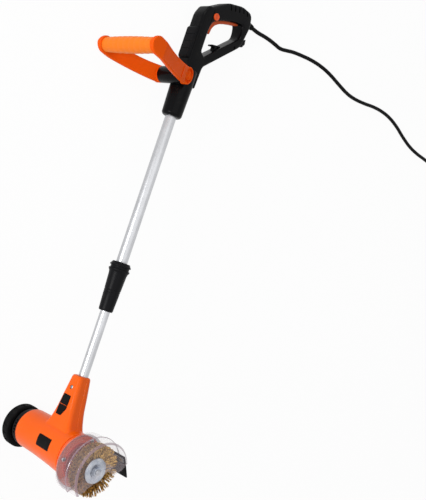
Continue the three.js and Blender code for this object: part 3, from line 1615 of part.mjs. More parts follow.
function makeFrontHandle() {
  const up = [0, 0, 1];
  const outer = hubHalf + gap + bossWidth;
  const straps = strapStations().map(({ centre, high }) =>
    barRing(centre, [1, 0, 0], up, strapHalf, high, strapSquareness),
  );
  const oval = (from, to, trim) =>
    loft(
      [from, to].map((x) =>
        barRing([x, pivotY, pivotZ], [0, 1, 0], up, bossHalfY - trim, bossHalfZ - trim, 2, bossSides),
      ),
    );
  const boss = oval(hubHalf + gap, outer, 0);
  const recess = oval(outer - bossRecess, outer + overrun, bossRim);
  const bar = rodX(barRadius, 0, strapX, barY, barZ);
  const bolt = rodX(boltRadius + gap, 0, outer + overrun, pivotY, pivotZ);
  const right = cut(join(loft(straps), boss, bar), recess, bolt);
  add("front_handle_loop", join(right, right.mirror([1, 0, 0])), "orange");

  const sleeveHalf = strapX - strapHalf - gap;
  const bore = barRadius + gap;
  const ringSteps = 2 * sleeveRings;
  const profile = [[-sleeveHalf, bore]];
  for (let i = 0; i <= ringSteps; i++) {
    const x = -sleeveHalf + (2 * sleeveHalf * i) / ringSteps;
    const swell = 1 - (x / sleeveHalf) ** 2;
    const dip = i % 2 ? 0 : sleeveRingDepth;
    profile.push([x, sleeveEndRadius + (sleeveRadius - sleeveEndRadius) * swell - dip]);
  }
  profile.push([sleeveHalf, bore]);
  add("front_handle_grip", turned(profile, barY, barZ, gripSides), "orange");

  const headSeat = outer - bossRecess + gap;
  const shank = rodX(boltRadius, -headSeat, headSeat, pivotY, pivotZ);
  const head = rodX(boltHeadRadius, headSeat, headSeat + boltHead, pivotY, pivotZ);
  const foot = rodX(boltHeadRadius, -headSeat - boltHead, -headSeat, pivotY, pivotZ, 6);
  add("pivot_bolt", join(shank, head, foot), "steel");
}

// Strain relief where the cord leaves the grip
function makeRelief() {
  const start = gripRear - 2 * handleRound;
  const ring = (y, radius) => {
    const points = [];
    for (let i = 0; i < fewFacets; i++) {
      const turn = (i / fewFacets) * fullTurn;
      points.push([radius * Math.cos(turn), y, exitZ + radius * Math.sin(turn)]);
    }
    return points;
  };
  const relief = loft([
    ring(start, reliefRadius),
    ring(gripRear, reliefRadius),
    ring(gripRear + overrun, reliefRadius - overrun / 2),
    ring(start + reliefLength, reliefTip),
  ]);
  const bore = rodY(cordRadius + gap, start + reliefLength / 2, start + reliefLength + overrun, 0, exitZ);
  add("cord_strain_relief", cut(relief, bore), "rubber");
  return start + reliefLength;
}

// Rings of a round tube along a path, each from its place and two directions across it.
function tubeRings(path, radius, sides) {
  return path.map(({ at, side, up }) => {
    const ring = [];
    for (let i = 0; i < sides; i++) {
      const turn = (i / sides) * fullTurn;
      const a = radius * Math.cos(turn);
      const b = radius * Math.sin(turn);
      ring.push([0, 1, 2].map((k) => at[k] + side[k] * a + up[k] * b));
    }
    return ring;
  });
}

// Least space that a wound tube leaves to itself, between places half a turn apart or more.
function leastGap(name, path, radius, stepsPerTurn) {
  let least = Infinity;
  for (let i = 0; i < path.length; i++) {
    for (let j = i + stepsPerTurn / 2; j < path.length; j++) {
      const span = Math.hypot(...path[i].at.map((value, k) => value - path[j].at[k]));
      least = Math.min(least, span - 2 * radius);
    }
  }
  console.log(name + " least gap to itself: " + least.toFixed(2) + " mm");
}

// Coil of the cord's unseen end: two flat layers, inwards below and outwards above.
function coilPath() {
  const path = [];
  const steps = coilTurns * coilSteps;
  const spot = (share) => {
    const turn = Math.PI + share * coilTurns * fullTurn;
    const inward = coilTurns * Math.min(share, 1 - share);
    const radius = coilOuterRadius - coilPitch * inward;
    const climb = (share - coilRise[0]) / (coilRise[1] - coilRise[0]);
    const rise = THREE.MathUtils.smoothstep(climb, 0, 1) * coilLayer;
    const out = [Math.cos(turn), Math.sin(turn), 0];
    return {
      at: [coilX + radius * out[0], coilY + radius * out[1], coilLift + rise],
      side: out,
      up: [0, 0, 1],
    };
  };
  const first = spot(0);
  path.push({ ...first, at: [first.at[0], first.at[1] + 2 * cordRadius, first.at[2]] });
  for (let i = 0; i <= steps; i++) {
    path.push(spot(i / steps));
  }
  const last = spot(1);
  path.push({ ...last, at: [last.at[0], last.at[1] - coilLead, last.at[2]] });
  return path;
}

function makeCord(exitAlong) {
  const exit = new THREE.Vector3(0, exitAlong + gap, exitZ).applyMatrix4(tool.matrixWorld);
  const way = new THREE.Vector3(0, 1, 0).transformDirection(tool.matrixWorld);
  const along = (share) => exit.clone().addScaledVector(way, share * 2 * cordRadius);
  const coil = coilPath();
  const [endX, endY, endZ] = coil[0].at;
  const end = new THREE.Vector3(endX, endY + gap, endZ);
  const points = [
    exit,
    along(0.5),
    along(1),
    along(2),
    ...cordRoute.map(([x, y]) => new THREE.Vector3(x, y, cordRadius + gap)),
    end.clone().add(new THREE.Vector3(0, 3 * cordRadius, 0)),
    end,
  ];
  const curve = new THREE.CatmullRomCurve3(points, false, "centripetal");
  const shape = new THREE.Shape(
    Array.from({ length: cordSides }, (_, i) => {
      const turn = (i / cordSides) * fullTurn;
      return new THREE.Vector2(cordRadius * Math.cos(turn), cordRadius * Math.sin(turn));
    }),
  );
  const sweep = { extrudePath: curve, steps: cordSteps, bevelEnabled: false };
  const cord = new THREE.ExtrudeGeometry(shape, sweep);
  add("power_cord", solid(cord), "black", part);
  console.log("power_cord length " + curve.getLength().toFixed(0) + " mm");

  leastGap("cord_coil", coil.slice(1, -1), cordRadius, coilSteps);
  add("cord_coil", loft(tubeRings(coil, cordRadius, coilSides)), "black", part);

  // Tie round the bundle, a quarter turn on from where the cord comes in
  const inRadius = coilOuterRadius - coilPitch * (coilTurns / 2) - cordRadius;
  const outRadius = coilOuterRadius + cordRadius;
  const foot = coilLift - cordRadius - gap;
  const top = coilLift + coilLayer + cordRadius + gap;
  const turn = Math.PI + tieTurn;
  const frame = cut(
    block(
      inRadius - gap - tieThick,
      outRadius + gap + tieThick,
      -tieWidth / 2,
      tieWidth / 2,
      foot - tieThick,
      top + tieThick,
    ),
    block(inRadius - gap, outRadius + gap, -tieWidth, tieWidth, foot, top),
  );
  const tie = frame.rotate([0, 0, (turn * 180) / Math.PI]).translate([coilX, coilY, 0]);
  add("coil_tie", tie, "softBlack", part);
  makePlug(coil[coil.length - 1].at);
}

// Two-pin plug in line with the coil's upper end
function makePlug([x, y, z]) {
  const start = y - gap;
  const ring = (share, wide, high, squareness) =>
    barRing([x, start - share * plugLength, z], [1, 0, 0], [0, 0, 1], wide, high, squareness);
  const [neck, shoulder, full] = plugShares;
  const body = loft([
    ring(neck, plugNeckRadius, plugNeckRadius, 2),
    ring(shoulder, plugNeckRadius + plugFaceEdge, plugNeckRadius + plugFaceEdge, 2),
    ring(full, plugHalfWide, plugHalfHigh, 3),
    ring(1 - plugFaceEdge / plugLength, plugHalfWide, plugHalfHigh, 3),
    ring(1, plugHalfWide - plugFaceEdge, plugHalfHigh - plugFaceEdge, 3),
  ]);
  const face = start - plugLength;
  const pins = [-1, 1].map((side) =>
    rodY(pinRadius, face - pinLength, face + overrun, x + (side * pinSpacing) / 2, z, cordSides),
  );
  add("mains_plug", join(body, ...pins), "black", part);
}

makeHousing();
makeHousingTrim();
makeMotor();
makeGears();
makeGearCase();
makeBrush();
makeGuard();
makeFlap();
makeWheel();
makeTubes();
makeHandle();
makeSoftParts();
makeTrigger();
makeElectrics();
makeFrontHandle();
const exitAlong = makeRelief();

// The tool lies on its left side: the wheel, the front handle and the grip touch the floor.
// The floor's plane is found from the lowest point of each, until the three points settle.
function lowestPoint(names, up) {
  let best = null;
  for (const name of names) {
    const place = tool.getObjectByName(name).geometry.attributes.position;
    for (let i = 0; i < place.count; i++) {
      const point = new THREE.Vector3().fromBufferAttribute(place, i);
      if (best === null || point.dot(up) < best.dot(up)) {
        best = point;
      }
    }
  }
  return best;
}

function restingUp() {
  let up = new THREE.Vector3(1, 0, 0);
  for (let round = 0; round < restRounds; round++) {
    const [a, b, c] = restPieces.map((names) => lowestPoint(names, up));
    const next = b.clone().sub(a).cross(c.clone().sub(a)).normalize();
    up = next.x < 0 ? next.negate() : next;
  }
  return up;
}

function placeTool() {
  const up = restingUp();
  const along = new THREE.Vector3(0, 0, 1).projectOnPlane(up).normalize();
  const across = up.clone().cross(along);
  const turn = new THREE.Matrix4().makeBasis(along, across, up).transpose();
  tool.quaternion.setFromRotationMatrix(turn);
  tool.updateMatrixWorld(true);
  const box = new THREE.Box3().setFromObject(tool, true);
  const middle = box.getCenter(new THREE.Vector3());
  tool.position.set(-middle.x, -middle.y, -box.min.z);
  tool.updateMatrixWorld(true);
}

placeTool();
part.add(tool);
makeCord(exitAlong);

export default part;
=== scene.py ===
"""Electric weeder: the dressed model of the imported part, in metres, in the part's own frame."""
import json
import math
import random

import bmesh
import bpy
from mathutils import Matrix, Vector


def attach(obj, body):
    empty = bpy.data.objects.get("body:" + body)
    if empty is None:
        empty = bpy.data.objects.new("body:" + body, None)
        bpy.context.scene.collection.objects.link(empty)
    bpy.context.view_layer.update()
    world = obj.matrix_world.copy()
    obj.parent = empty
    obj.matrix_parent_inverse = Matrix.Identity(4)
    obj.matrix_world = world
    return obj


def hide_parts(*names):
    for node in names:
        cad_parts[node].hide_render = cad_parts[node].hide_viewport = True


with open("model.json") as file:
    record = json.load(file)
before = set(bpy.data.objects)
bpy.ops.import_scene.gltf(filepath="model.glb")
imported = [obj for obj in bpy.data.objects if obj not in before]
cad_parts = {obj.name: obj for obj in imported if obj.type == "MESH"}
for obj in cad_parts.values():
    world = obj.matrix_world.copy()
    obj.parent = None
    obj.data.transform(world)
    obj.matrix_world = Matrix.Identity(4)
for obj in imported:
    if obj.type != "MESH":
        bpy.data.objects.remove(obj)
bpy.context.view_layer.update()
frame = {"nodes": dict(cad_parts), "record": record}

# The tool's own axes, read from its joints: X towards the brush, Y towards the user, Z up the tube.
# Pieces are modelled in these axes in millimetres and laid down with the tool at the end.
METRE = 1000
BRUSH_MIDDLE = 105
joints = {joint["name"]: joint for joint in frame["record"]["behaviour"]["joints"]}
towards_brush = Vector(joints["brush_spin"]["axis"]).normalized()
up_tube = Vector(joints["telescope_slide"]["axis"]).normalized()
towards_user = up_tube.cross(towards_brush)
head_corner = Vector(joints["brush_spin"]["pos_m"]) - towards_brush * BRUSH_MIDDLE / METRE
TOOL = Matrix((towards_brush, towards_user, up_tube)).transposed().to_4x4()
TOOL.translation = head_corner
LAY_DOWN = TOOL @ Matrix.Scale(1 / METRE, 4)

scene = bpy.context.scene
scene.view_settings.view_transform = "Standard"


def joint_place(name):
    """Where a joint is in the tool's axes, as (Y, Z) in millimetres."""
    spot = LAY_DOWN.inverted() @ Vector(joints[name]["pos_m"])
    return round(spot.y, 2), round(spot.z, 2)


PIVOT = joint_place("front_handle_tilt")
TRIGGER_PIVOT = joint_place("trigger_press")
WHEEL_MIDDLE = joint_place("wheel_spin")
MOTOR_MIDDLE = joint_place("rotor_spin")
MIDDLE = (0, 0)

# Camera: it looks down on the lying tool from where the photograph was taken
CAMERA_PLACE = Vector((1136.573, -1026.565, 337.263)) / METRE
CAMERA_RIGHT = Vector((0.723035, 0.616813, 0.311066))
CAMERA_DOWN = Vector((0.184154, 0.261898, -0.947363))
CAMERA_AHEAD = Vector((-0.665814, 0.742260, 0.075773))
CAMERA_LENS = 56.515
CAMERA_SENSOR = 36


def set_camera():
    lens = bpy.data.cameras.new("camera")
    lens.lens = CAMERA_LENS
    lens.sensor_width = CAMERA_SENSOR
    camera = bpy.data.objects.new("camera", lens)
    scene.collection.objects.link(camera)
    turn = Matrix((CAMERA_RIGHT, -CAMERA_DOWN, -CAMERA_AHEAD)).transposed().to_4x4()
    camera.matrix_world = TOOL @ Matrix.Translation(CAMERA_PLACE) @ turn
    scene.camera = camera


set_camera()


# Shader maths
class Wire:
    """A socket of a material's nodes, so that sums on it are written as Python."""

    def __init__(self, tree, socket):
        self.tree = tree
        self.socket = socket

    def sum(self, operation, *values):
        return self.tree.node("ShaderNodeMath", {"operation": operation}, dict(enumerate(values)))

    def __add__(self, other):
        return self.sum("ADD", self, other)

    def __sub__(self, other):
        return self.sum("SUBTRACT", self, other)

    def __rsub__(self, other):
        return self.sum("SUBTRACT", other, self)

    def __mul__(self, other):
        return self.sum("MULTIPLY", self, other)

    def __pow__(self, other):
        return self.sum("POWER", self, other)

    def __rpow__(self, other):
        return self.sum("POWER", other, self)

    __radd__ = __add__
    __rmul__ = __mul__

    def above(self, low, high):
        """0 below low, 1 above high, and even between them."""
        sockets = {"Value": self, "From Min": low, "From Max": high}
        return self.tree.node("ShaderNodeMapRange", {"clamp": True}, sockets)


class Tree:
    """The nodes of a material or of the sky, all of them made by one method."""

    def __init__(self, holder):
        holder.use_nodes = True
        self.nodes = holder.node_tree.nodes
        self.links = holder.node_tree.links

    def node(self, kind, settings=None, sockets=None, output=0):
        made = self.nodes.new(kind)
        for name, value in (settings or {}).items():
            setattr(made, name, value)
        for name, value in (sockets or {}).items():
            self.join(made.inputs[name], value)
        return Wire(self, made.outputs[output])

    def join(self, socket, value):
        if isinstance(value, Wire):
            self.links.new(value.socket, socket)
        else:
            socket.default_value = value

    def seen_rays(self):
        """1 for rays from the camera and for those that metal, gloss and clear plastic send on, else 0."""
        rays = self.node("ShaderNodeLightPath").socket.node.outputs
        kinds = ("Camera", "Glossy", "Transmission")
        seen, *sent_on = (Wire(self, rays["Is %s Ray" % kind]) for kind in kinds)
        return sum(sent_on, seen).above(0, 1)


class Paint(Tree):
    """A material, its nodes and its Principled shader."""

    def __init__(self, name, **constants):
        self.material = bpy.data.materials.new(name)
        super().__init__(self.material)
        self.shader = self.nodes["Principled BSDF"]
        self.feed(**constants)

    def feed(self, **sockets):
        for name, value in sockets.items():
            self.join(self.shader.inputs[name.replace("_", " ")], value)
        return self.material

    def place(self):
        """Where a point of the piece is in the tool's own axes, in metres."""
        spot = self.node("ShaderNodeTexCoord", output="Object")
        turn = TOOL.to_euler()
        sockets = {"Vector": spot, "Location": TOOL.translation, "Rotation": turn}
        return self.node("ShaderNodeMapping", {"vector_type": "TEXTURE"}, sockets)

    def stretched(self, place, scale):
        sockets = {"Vector": place, "Scale": scale}
        return self.node("ShaderNodeMapping", {"vector_type": "POINT"}, sockets)

    def noise(self, place, scale, detail=2, roughness=0.5):
        sockets = {"Vector": place, "Scale": scale, "Detail": detail, "Roughness": roughness}
        return self.node("ShaderNodeTexNoise", {}, sockets)

    def blend(self, factor, first, second):
        sockets = {0: factor, 6: first, 7: second}
        return self.node("ShaderNodeMix", {"data_type": "RGBA"}, sockets, output=2)

    def brush_axis(self, place):
        """How far a point is along the brush's axis, and how far out from it."""
        along = self.node("ShaderNodeSeparateXYZ", {}, {"Vector": place})
        y, z = (Wire(self, along.socket.node.outputs[name]) for name in ("Y", "Z"))
        return along, (y * y + z * z) ** 0.5

    def bump(self, height, strength, distance):
        sockets = {"Height": height, "Strength": strength, "Distance": distance}
        return self.node("ShaderNodeBump", {}, sockets)


def linear(red, green, blue):
    """A screen colour, 0 to 255, as the linear one that a shader takes."""
    shares = [value / 255 for value in (red, green, blue)]
    return (*(s / 12.92 if s < 0.04045 else ((s + 0.055) / 1.055) ** 2.4 for s in shares), 1)


def darker(colour, share):
    return (*(value * share for value in colour[:3]), 1)


# Materials: places are metres in the tool's axes, and grain is how many grains there are to a metre
# From here along the brush's axis the gear case's nose gets a painted shade of deep red, for the shadow that
# falls on it inside the guard
NOSE_SHADE_START = 0.0648
NOSE_SHADE_END = 0.0662
GUARD_BEAD = ((0.1026, 0.1036), (0.1064, 0.1074))
GUARD_RIM_ALONG = (0.1292, 0.1306)
GUARD_RIM_OUT = (0.0555, 0.0565)
GUARD_FLANGE_ALONG = (0.0662, 0.0674)
GUARD_FLANGE_OUT = (0.0476, 0.0486)


def moulded_plastic(name, colour, roughness, grain, depth, coat=0.0, gloss=0.22, nose_shade=None):
    """Moulded plastic: a fine grain, faint flow marks in its colour and a little dust in its gloss; where a
    nose shade is given, the gear case's nose is painted that darker colour as shade.
    """
    paint = Paint(name, Coat_Roughness=0.15, Specular_IOR_Level=gloss)
    place = paint.place()
    flow = paint.noise(paint.stretched(place, (1, 1, 0.4)), 22, 3)
    fine = paint.noise(place, grain, 2, 0.6)
    dust = paint.noise(place, 90, 4, 0.7)
    tone = paint.blend(flow.above(0.35, 0.68), darker(colour, 0.93), colour)
    shade = paint.blend(dust.above(0.58, 0.85) * 0.05, tone, linear(150, 140, 130))
    height = fine * 0.8 + dust * 0.2
    # Painted shade: past the nose's start the colour turns deep red, for the shadow that falls on the nose
    # inside the guard
    if nose_shade:
        along, _ = paint.brush_axis(place)
        shade = paint.blend(along.above(NOSE_SHADE_START, NOSE_SHADE_END), shade, nose_shade)
    return paint.feed(
        Base_Color=shade,
        Roughness=fine * 0.12 + flow * 0.08 + (roughness - 0.1),
        Coat_Weight=flow * 0.2 * coat + coat * 0.8,
        Normal=paint.bump(height, 0.35, depth),
    )


def brushed_metal(name, colour, roughness, stretch, grain=900, depth=0.00004):
    """Metal with fine marks drawn out along one way of the tool."""
    paint = Paint(name, Metallic=1.0)
    place = paint.place()
    marks = paint.noise(paint.stretched(place, stretch), grain, 3, 0.65)
    cloud = paint.noise(place, 35, 3)
    tone = paint.blend(cloud.above(0.3, 0.7), darker(colour, 0.86), colour)
    return paint.feed(
        Base_Color=paint.blend(marks.above(0.35, 0.65) * 0.35, tone, darker(colour, 0.7)),
        Roughness=marks * 0.16 + cloud * 0.1 + (roughness - 0.13),
        Normal=paint.bump(marks, 0.25, depth),
    )


def black_rubber(name, colour, roughness=0.75, grain=1400, depth=0.00008):
    """Matt rubber with a sanded mould grain and paler rubbed places."""
    paint = Paint(name, Specular_IOR_Level=0.07)
    place = paint.place()
    fine = paint.noise(place, grain, 2, 0.7)
    rubbed = paint.noise(place, 55, 4, 0.6)
    tone = paint.blend(rubbed.above(0.52, 0.75) * 0.4, colour, linear(40, 39, 38))
    return paint.feed(
        Base_Color=tone,
        Roughness=fine * 0.14 + (roughness - 0.07),
        Normal=paint.bump(fine, 0.4, depth),
    )


def clear_plastic(name):
    """Clear moulded plastic: a faint pinkish grey, deeper in its bead, rim and flange, with a little haze."""
    paint = Paint(name, Specular_IOR_Level=1.0, IOR=1.5)
    place = paint.place()
    along, out = paint.brush_axis(place)
    haze = paint.noise(place, 30, 4, 0.6)
    scratch = paint.noise(paint.stretched(place, (1, 9, 1)), 240, 2, 0.5)
    bead = along.above(*GUARD_BEAD[0]) - along.above(*GUARD_BEAD[1])
    rim = along.above(*GUARD_RIM_ALONG) * out.above(*GUARD_RIM_OUT)
    flange = (1 - along.above(*GUARD_FLANGE_ALONG)) * out.above(*GUARD_FLANGE_OUT)
    thick = bead + rim + flange
    clouded = haze.above(0.4, 0.7) * 0.04
    scratched = scratch.above(0.62, 0.7) * 0.04
    thin_tone = paint.blend(haze.above(0.4, 0.75) * 0.6, linear(240, 226, 232), linear(206, 184, 196))
    return paint.feed(
        Base_Color=paint.blend(thick * 0.8, thin_tone, linear(130, 92, 110)),
        Alpha=thick * 0.55 + clouded + scratched + 0.12,
        Roughness=haze.above(0.45, 0.8) * 0.08 + 0.06,
        Normal=paint.bump(scratch, 0.08, 0.00002),
    )


def zinc_plate(name):
    """Zinc-plated pressing: a blue-grey with faint warm patches and marks from the press."""
    paint = Paint(name, Metallic=1.0)
    place = paint.place()
    cloud = paint.noise(place, 60, 3, 0.6)
    marks = paint.noise(paint.stretched(place, (1, 3, 1)), 500, 3, 0.6)
    tone = paint.blend(cloud.above(0.38, 0.66), linear(158, 168, 182), linear(192, 197, 203))
    return paint.feed(
        Base_Color=paint.blend(marks.above(0.5, 0.72) * 0.3, tone, linear(140, 148, 160)),
        Roughness=marks * 0.2 + cloud * 0.12 + 0.14,
        Normal=paint.bump(marks, 0.2, 0.00005),
    )


def brass_wire(name):
    """Brass-coated wire: each wire's colour differs a little, and so does each patch of them."""
    paint = Paint(name, Metallic=0.5)
    place = paint.place()
    each = paint.noise(place, 300, 1, 0.5)
    patch = paint.noise(place, 45, 2, 0.5)
    tone = paint.blend(each.above(0.38, 0.62), linear(130, 92, 40), linear(232, 188, 106))
    return paint.feed(
        Base_Color=paint.blend(patch.above(0.4, 0.7) * 0.3, tone, linear(168, 126, 62)),
        Roughness=each * 0.2 + 0.28,
        Normal=paint.bump(each, 0.2, 0.00005),
    )


def wound_copper(name):
    """Enamelled copper on steel: the winding's turns show as fine waves."""
    paint = Paint(name, Metallic=0.9)
    place = paint.place()
    waves = paint.node(
        "ShaderNodeTexWave",
        {"wave_type": "BANDS", "bands_direction": "Z"},
        {"Vector": place, "Scale": 160, "Distortion": 1.5, "Detail": 1},
    )
    return paint.feed(
        Base_Color=paint.blend(waves, linear(120, 62, 30), linear(200, 118, 66)),
        Roughness=waves * 0.15 + 0.25,
        Normal=paint.bump(waves, 0.3, 0.0002),
    )


ORANGE = linear(252, 100, 8)
ORANGE_DEEP = linear(250, 92, 8)
ORANGE_GRIP = linear(252, 128, 22)
ORANGE_CASE = linear(248, 94, 8)
ORANGE_BUTTON = linear(240, 88, 26)
ORANGE_TRIGGER = linear(226, 90, 32)
# Deep red painted shade for the gear case's nose, not the colour of its plastic
NOSE_SHADE_RED = linear(150, 36, 26)
BLACK = linear(8, 8, 10)
TUBE_GREY = linear(204, 205, 208)
STEEL_GREY = linear(180, 184, 190)

# Each finish by its slot: its maker, then the values that the maker takes after the name
FINISHES = {
    "orange_housing": (moulded_plastic, ORANGE, 0.34, 1500, 0.00003, 0.15, 0.12),
    "orange_gear_case": (moulded_plastic, ORANGE_CASE, 0.38, 1500, 0.00003, 0.15, 0.22, NOSE_SHADE_RED),
    "orange_strap": (moulded_plastic, ORANGE_DEEP, 0.42, 1900, 0.00004, 0, 0.06),
    "orange_grip": (moulded_plastic, ORANGE_GRIP, 0.5, 1700, 0.00006),
    "orange_button": (moulded_plastic, ORANGE_BUTTON, 0.35, 1500, 0.00002, 0.2),
    "trigger_orange": (moulded_plastic, ORANGE_TRIGGER, 0.4, 1500, 0.00003, 0.1),
    "black_handle": (moulded_plastic, BLACK, 0.28, 1300, 0.00003, 0.08, 0.05),
    "black_collar": (moulded_plastic, linear(14, 14, 17), 0.38, 1500, 0.00005, 0, 0.09),
    "black_trim": (moulded_plastic, linear(10, 10, 12), 0.3, 1500, 0.00002, 0, 0.07),
    "white_bush": (moulded_plastic, linear(226, 224, 216), 0.45, 1500, 0.00003),
    "soft_black": (black_rubber, linear(16, 16, 18), 0.5, 1500, 0.0001),
    "black_rubber": (black_rubber, linear(11, 11, 12), 0.5),
    "black_plug": (moulded_plastic, linear(20, 20, 21), 0.5, 1500, 0.00005),
    "tyre_rubber": (black_rubber, linear(12, 12, 13), 0.65, 1100, 0.00012),
    "tube_aluminium": (brushed_metal, TUBE_GREY, 0.36, (1, 1, 0.01), 700, 0.000004),
    "steel": (brushed_metal, STEEL_GREY, 0.34, (0.2, 1, 1)),
    "zinc_disc": (zinc_plate,),
    "armature": (wound_copper,),
    "carbon": (brushed_metal, linear(70, 70, 74), 0.6, (1, 1, 1), 700),
    "brass_wire": (brass_wire,),
    "clear_plastic": (clear_plastic,),
}
FINISH = {slot: maker(slot, *values) for slot, (maker, *values) in FINISHES.items()}


# Modelling helpers: meshes in the tool's axes, in millimetres
MERGE = 0.001
ROUND_FROM = math.radians(40)


def outline(mesh, points, closed=True):
    corners = [mesh.verts.new(point) for point in points]
    pairs = list(zip(corners, corners[1:]))
    if closed:
        pairs.append((corners[-1], corners[0]))
    return corners, [mesh.edges.new(pair) for pair in pairs]


def rounded(mesh, geometry, reach, steps, affect):
    """Rounds edges or corners of a mesh."""
    bmesh.ops.bevel(
        mesh,
        geom=geometry,
        offset=reach,
        offset_type="OFFSET",
        segments=steps,
        profile=0.5,
        affect=affect,
        material=-1,
        clamp_overlap=True,
    )


def swept(mesh, angle, steps, copied):
    """Turns all of a mesh about X in steps, into a skin or, where copied, into copies."""
    bmesh.ops.spin(
        mesh,
        geom=[*mesh.verts, *mesh.edges, *mesh.faces],
        cent=(0, 0, 0),
        axis=(1, 0, 0),
        angle=angle,
        steps=steps,
        use_merge=not copied,
        use_duplicate=copied,
    )


def spun(profile, soft=0.0, steps=96, closed=False, axis="X", at=MIDDLE):
    """A profile of (place along the axis, radius) points, rounded by soft and turned about the axis."""
    mesh = bmesh.new()
    corners, _ = outline(mesh, [(along, 0, radius) for along, radius in profile], closed)
    if soft:
        rounded(mesh, corners if closed else corners[1:-1], soft, 4, "VERTICES")
    swept(mesh, math.tau, steps, False)
    bmesh.ops.remove_doubles(mesh, verts=mesh.verts, dist=MERGE)
    if axis == "Z":
        mesh.transform(Matrix.Rotation(-math.pi / 2, 4, "Y"))
        mesh.transform(Matrix.Translation((at[0], at[1], 0)))
    elif axis == "Y":
        mesh.transform(Matrix.Rotation(math.pi / 2, 4, "Z"))
        mesh.transform(Matrix.Translation((at[0], 0, at[1])))
    else:
        mesh.transform(Matrix.Translation((0, at[0], at[1])))
    bmesh.ops.recalc_face_normals(mesh, faces=mesh.faces)
    return mesh


def rod(radius, start, end, axis="X", at=MIDDLE, soft=0.0, steps=48):
    return spun([(start, 0), (start, radius), (end, radius), (end, 0)], soft, steps, False, axis, at)


def box(low, high, soft=0.0):
    mesh = bmesh.new()
    size = [h - l for l, h in zip(low, high)]
    middle = [(h + l) / 2 for l, h in zip(low, high)]
    bmesh.ops.create_cube(mesh, size=1, matrix=Matrix.Translation(middle) @ Matrix.Diagonal((*size, 1)))
    if soft:
        rounded(mesh, [e for e in mesh.edges if e.calc_face_angle() > ROUND_FROM], soft, 2, "EDGES")
    return mesh


def plate(corners, low, high, reach=None, soft=0.0, hole=None, hole_reach=None, steps=5, corner_steps=6):
    """A plate across X between low and high, from (y, z) corners.

    Its corners are rounded by their reaches, and its edges by soft. A corner's reach is 0 or more than soft.
    """
    mesh = bmesh.new()
    for ring_of_corners, cuts in ((corners, reach), (hole, hole_reach)):
        if ring_of_corners is None:
            continue
        points, _ = outline(mesh, [(high - soft, y, z) for y, z in ring_of_corners])
        if cuts is None:
            continue
        cuts = [cuts] * len(points) if isinstance(cuts, (int, float)) else cuts
        for point, cut in zip(points, cuts):
            if cut:
                rounded(mesh, [point], cut, corner_steps, "VERTICES")
    bmesh.ops.triangle_fill(mesh, use_beauty=True, edges=list(mesh.edges), normal=(1, 0, 0))
    bmesh.ops.recalc_face_normals(mesh, faces=mesh.faces)
    if sum(face.normal.x * face.calc_area() for face in mesh.faces) < 0:
        bmesh.ops.reverse_faces(mesh, faces=mesh.faces)
    grown = bmesh.ops.extrude_face_region(mesh, geom=list(mesh.faces))["geom"]
    moved = [g for g in grown if isinstance(g, bmesh.types.BMVert)]
    bmesh.ops.translate(mesh, verts=moved, vec=(low - high + 2 * soft, 0, 0))
    bmesh.ops.recalc_face_normals(mesh, faces=mesh.faces)
    if soft:
        round_sides(mesh, soft, steps)
    return mesh


def round_sides(mesh, soft, steps):
    """Grows a plate's two sides outwards in steps along a quarter circle."""
    for side in (1, -1):
        turn = 0
        for step in range(1, steps + 1):
            caps = [f for f in mesh.faces if f.normal.x * side > 0.999]
            last, turn = turn, math.pi / 2 * step / steps
            inward = soft * (math.cos(last) - math.cos(turn))
            outward = soft * (math.sin(turn) - math.sin(last))
            bmesh.ops.inset_region(
                mesh, faces=caps, thickness=inward, depth=0, use_even_offset=True, use_boundary=True
            )
            top = [v for f in caps for v in f.verts]
            bmesh.ops.translate(mesh, verts=list(set(top)), vec=(side * outward, 0, 0))


def ring(centre, first, second, square=2, steps=96):
    """A closed ring of points on two half-widths: an oval, or squarer where square is more than 2."""
    points = []
    bend = 2 / square
    for i in range(steps):
        turn = math.tau * i / steps
        c, s = math.cos(turn), math.sin(turn)
        a = math.copysign(abs(c) ** bend, c)
        b = math.copysign(abs(s) ** bend, s)
        points.append([m + f * a + g * b for m, f, g in zip(centre, first, second)])
    return points


def lofted(rings):
    """A closed skin over rings of points, bridged one to the next, with flat ends."""
    mesh = bmesh.new()
    loops = [outline(mesh, points)[1] for points in rings]
    for first, second in zip(loops, loops[1:]):
        bmesh.ops.bridge_loops(mesh, edges=first + second)
    for loop in (loops[0], loops[-1]):
        bmesh.ops.contextual_create(mesh, geom=loop)
    bmesh.ops.recalc_face_normals(mesh, faces=mesh.faces)
    return mesh


def as_object(mesh, name="working"):
    data = bpy.data.meshes.new(name)
    mesh.to_mesh(data)
    mesh.free()
    made = bpy.data.objects.new(name, data)
    scene.collection.objects.link(made)
    return made


def removed(working):
    data = working.data
    bpy.data.objects.remove(working)
    bpy.data.meshes.remove(data)


def taken_back(working):
    """The object's mesh with its modifiers applied, and the object removed."""
    bpy.context.view_layer.update()
    graph = bpy.context.evaluated_depsgraph_get()
    mesh = bmesh.new()
    mesh.from_mesh(working.evaluated_get(graph).to_mesh())
    removed(working)
    return mesh


def fitted(operation, first, others):
    base = as_object(first)
    tools = [as_object(other) for other in others]
    for tool in tools:
        step = base.modifiers.new("fit", "BOOLEAN")
        step.operation = operation
        step.object = tool
        step.solver = "EXACT"
    made = taken_back(base)
    for tool in tools:
        removed(tool)
    return made


def joined(first, *others):
    return fitted("UNION", first, others)


def carved(first, *others):
    return fitted("DIFFERENCE", first, others)


def shared(first, *others):
    return fitted("INTERSECT", first, others)


def softened(mesh, voxel, rounds):
    """One skin over joined forms, with the creases between them run out as moulded plastic has them."""
    working = as_object(mesh)
    remesh = working.modifiers.new("skin", "REMESH")
    remesh.mode = "VOXEL"
    remesh.voxel_size = voxel
    smooth = working.modifiers.new("smooth", "SMOOTH")
    smooth.factor = 0.5
    smooth.iterations = rounds
    return taken_back(working)


def gathered(meshes):
    """Separate closed meshes put side by side in one."""
    whole = bmesh.new()
    for mesh in meshes:
        data = bpy.data.meshes.new("gathered")
        mesh.to_mesh(data)
        mesh.free()
        whole.from_mesh(data)
        bpy.data.meshes.remove(data)
    return whole


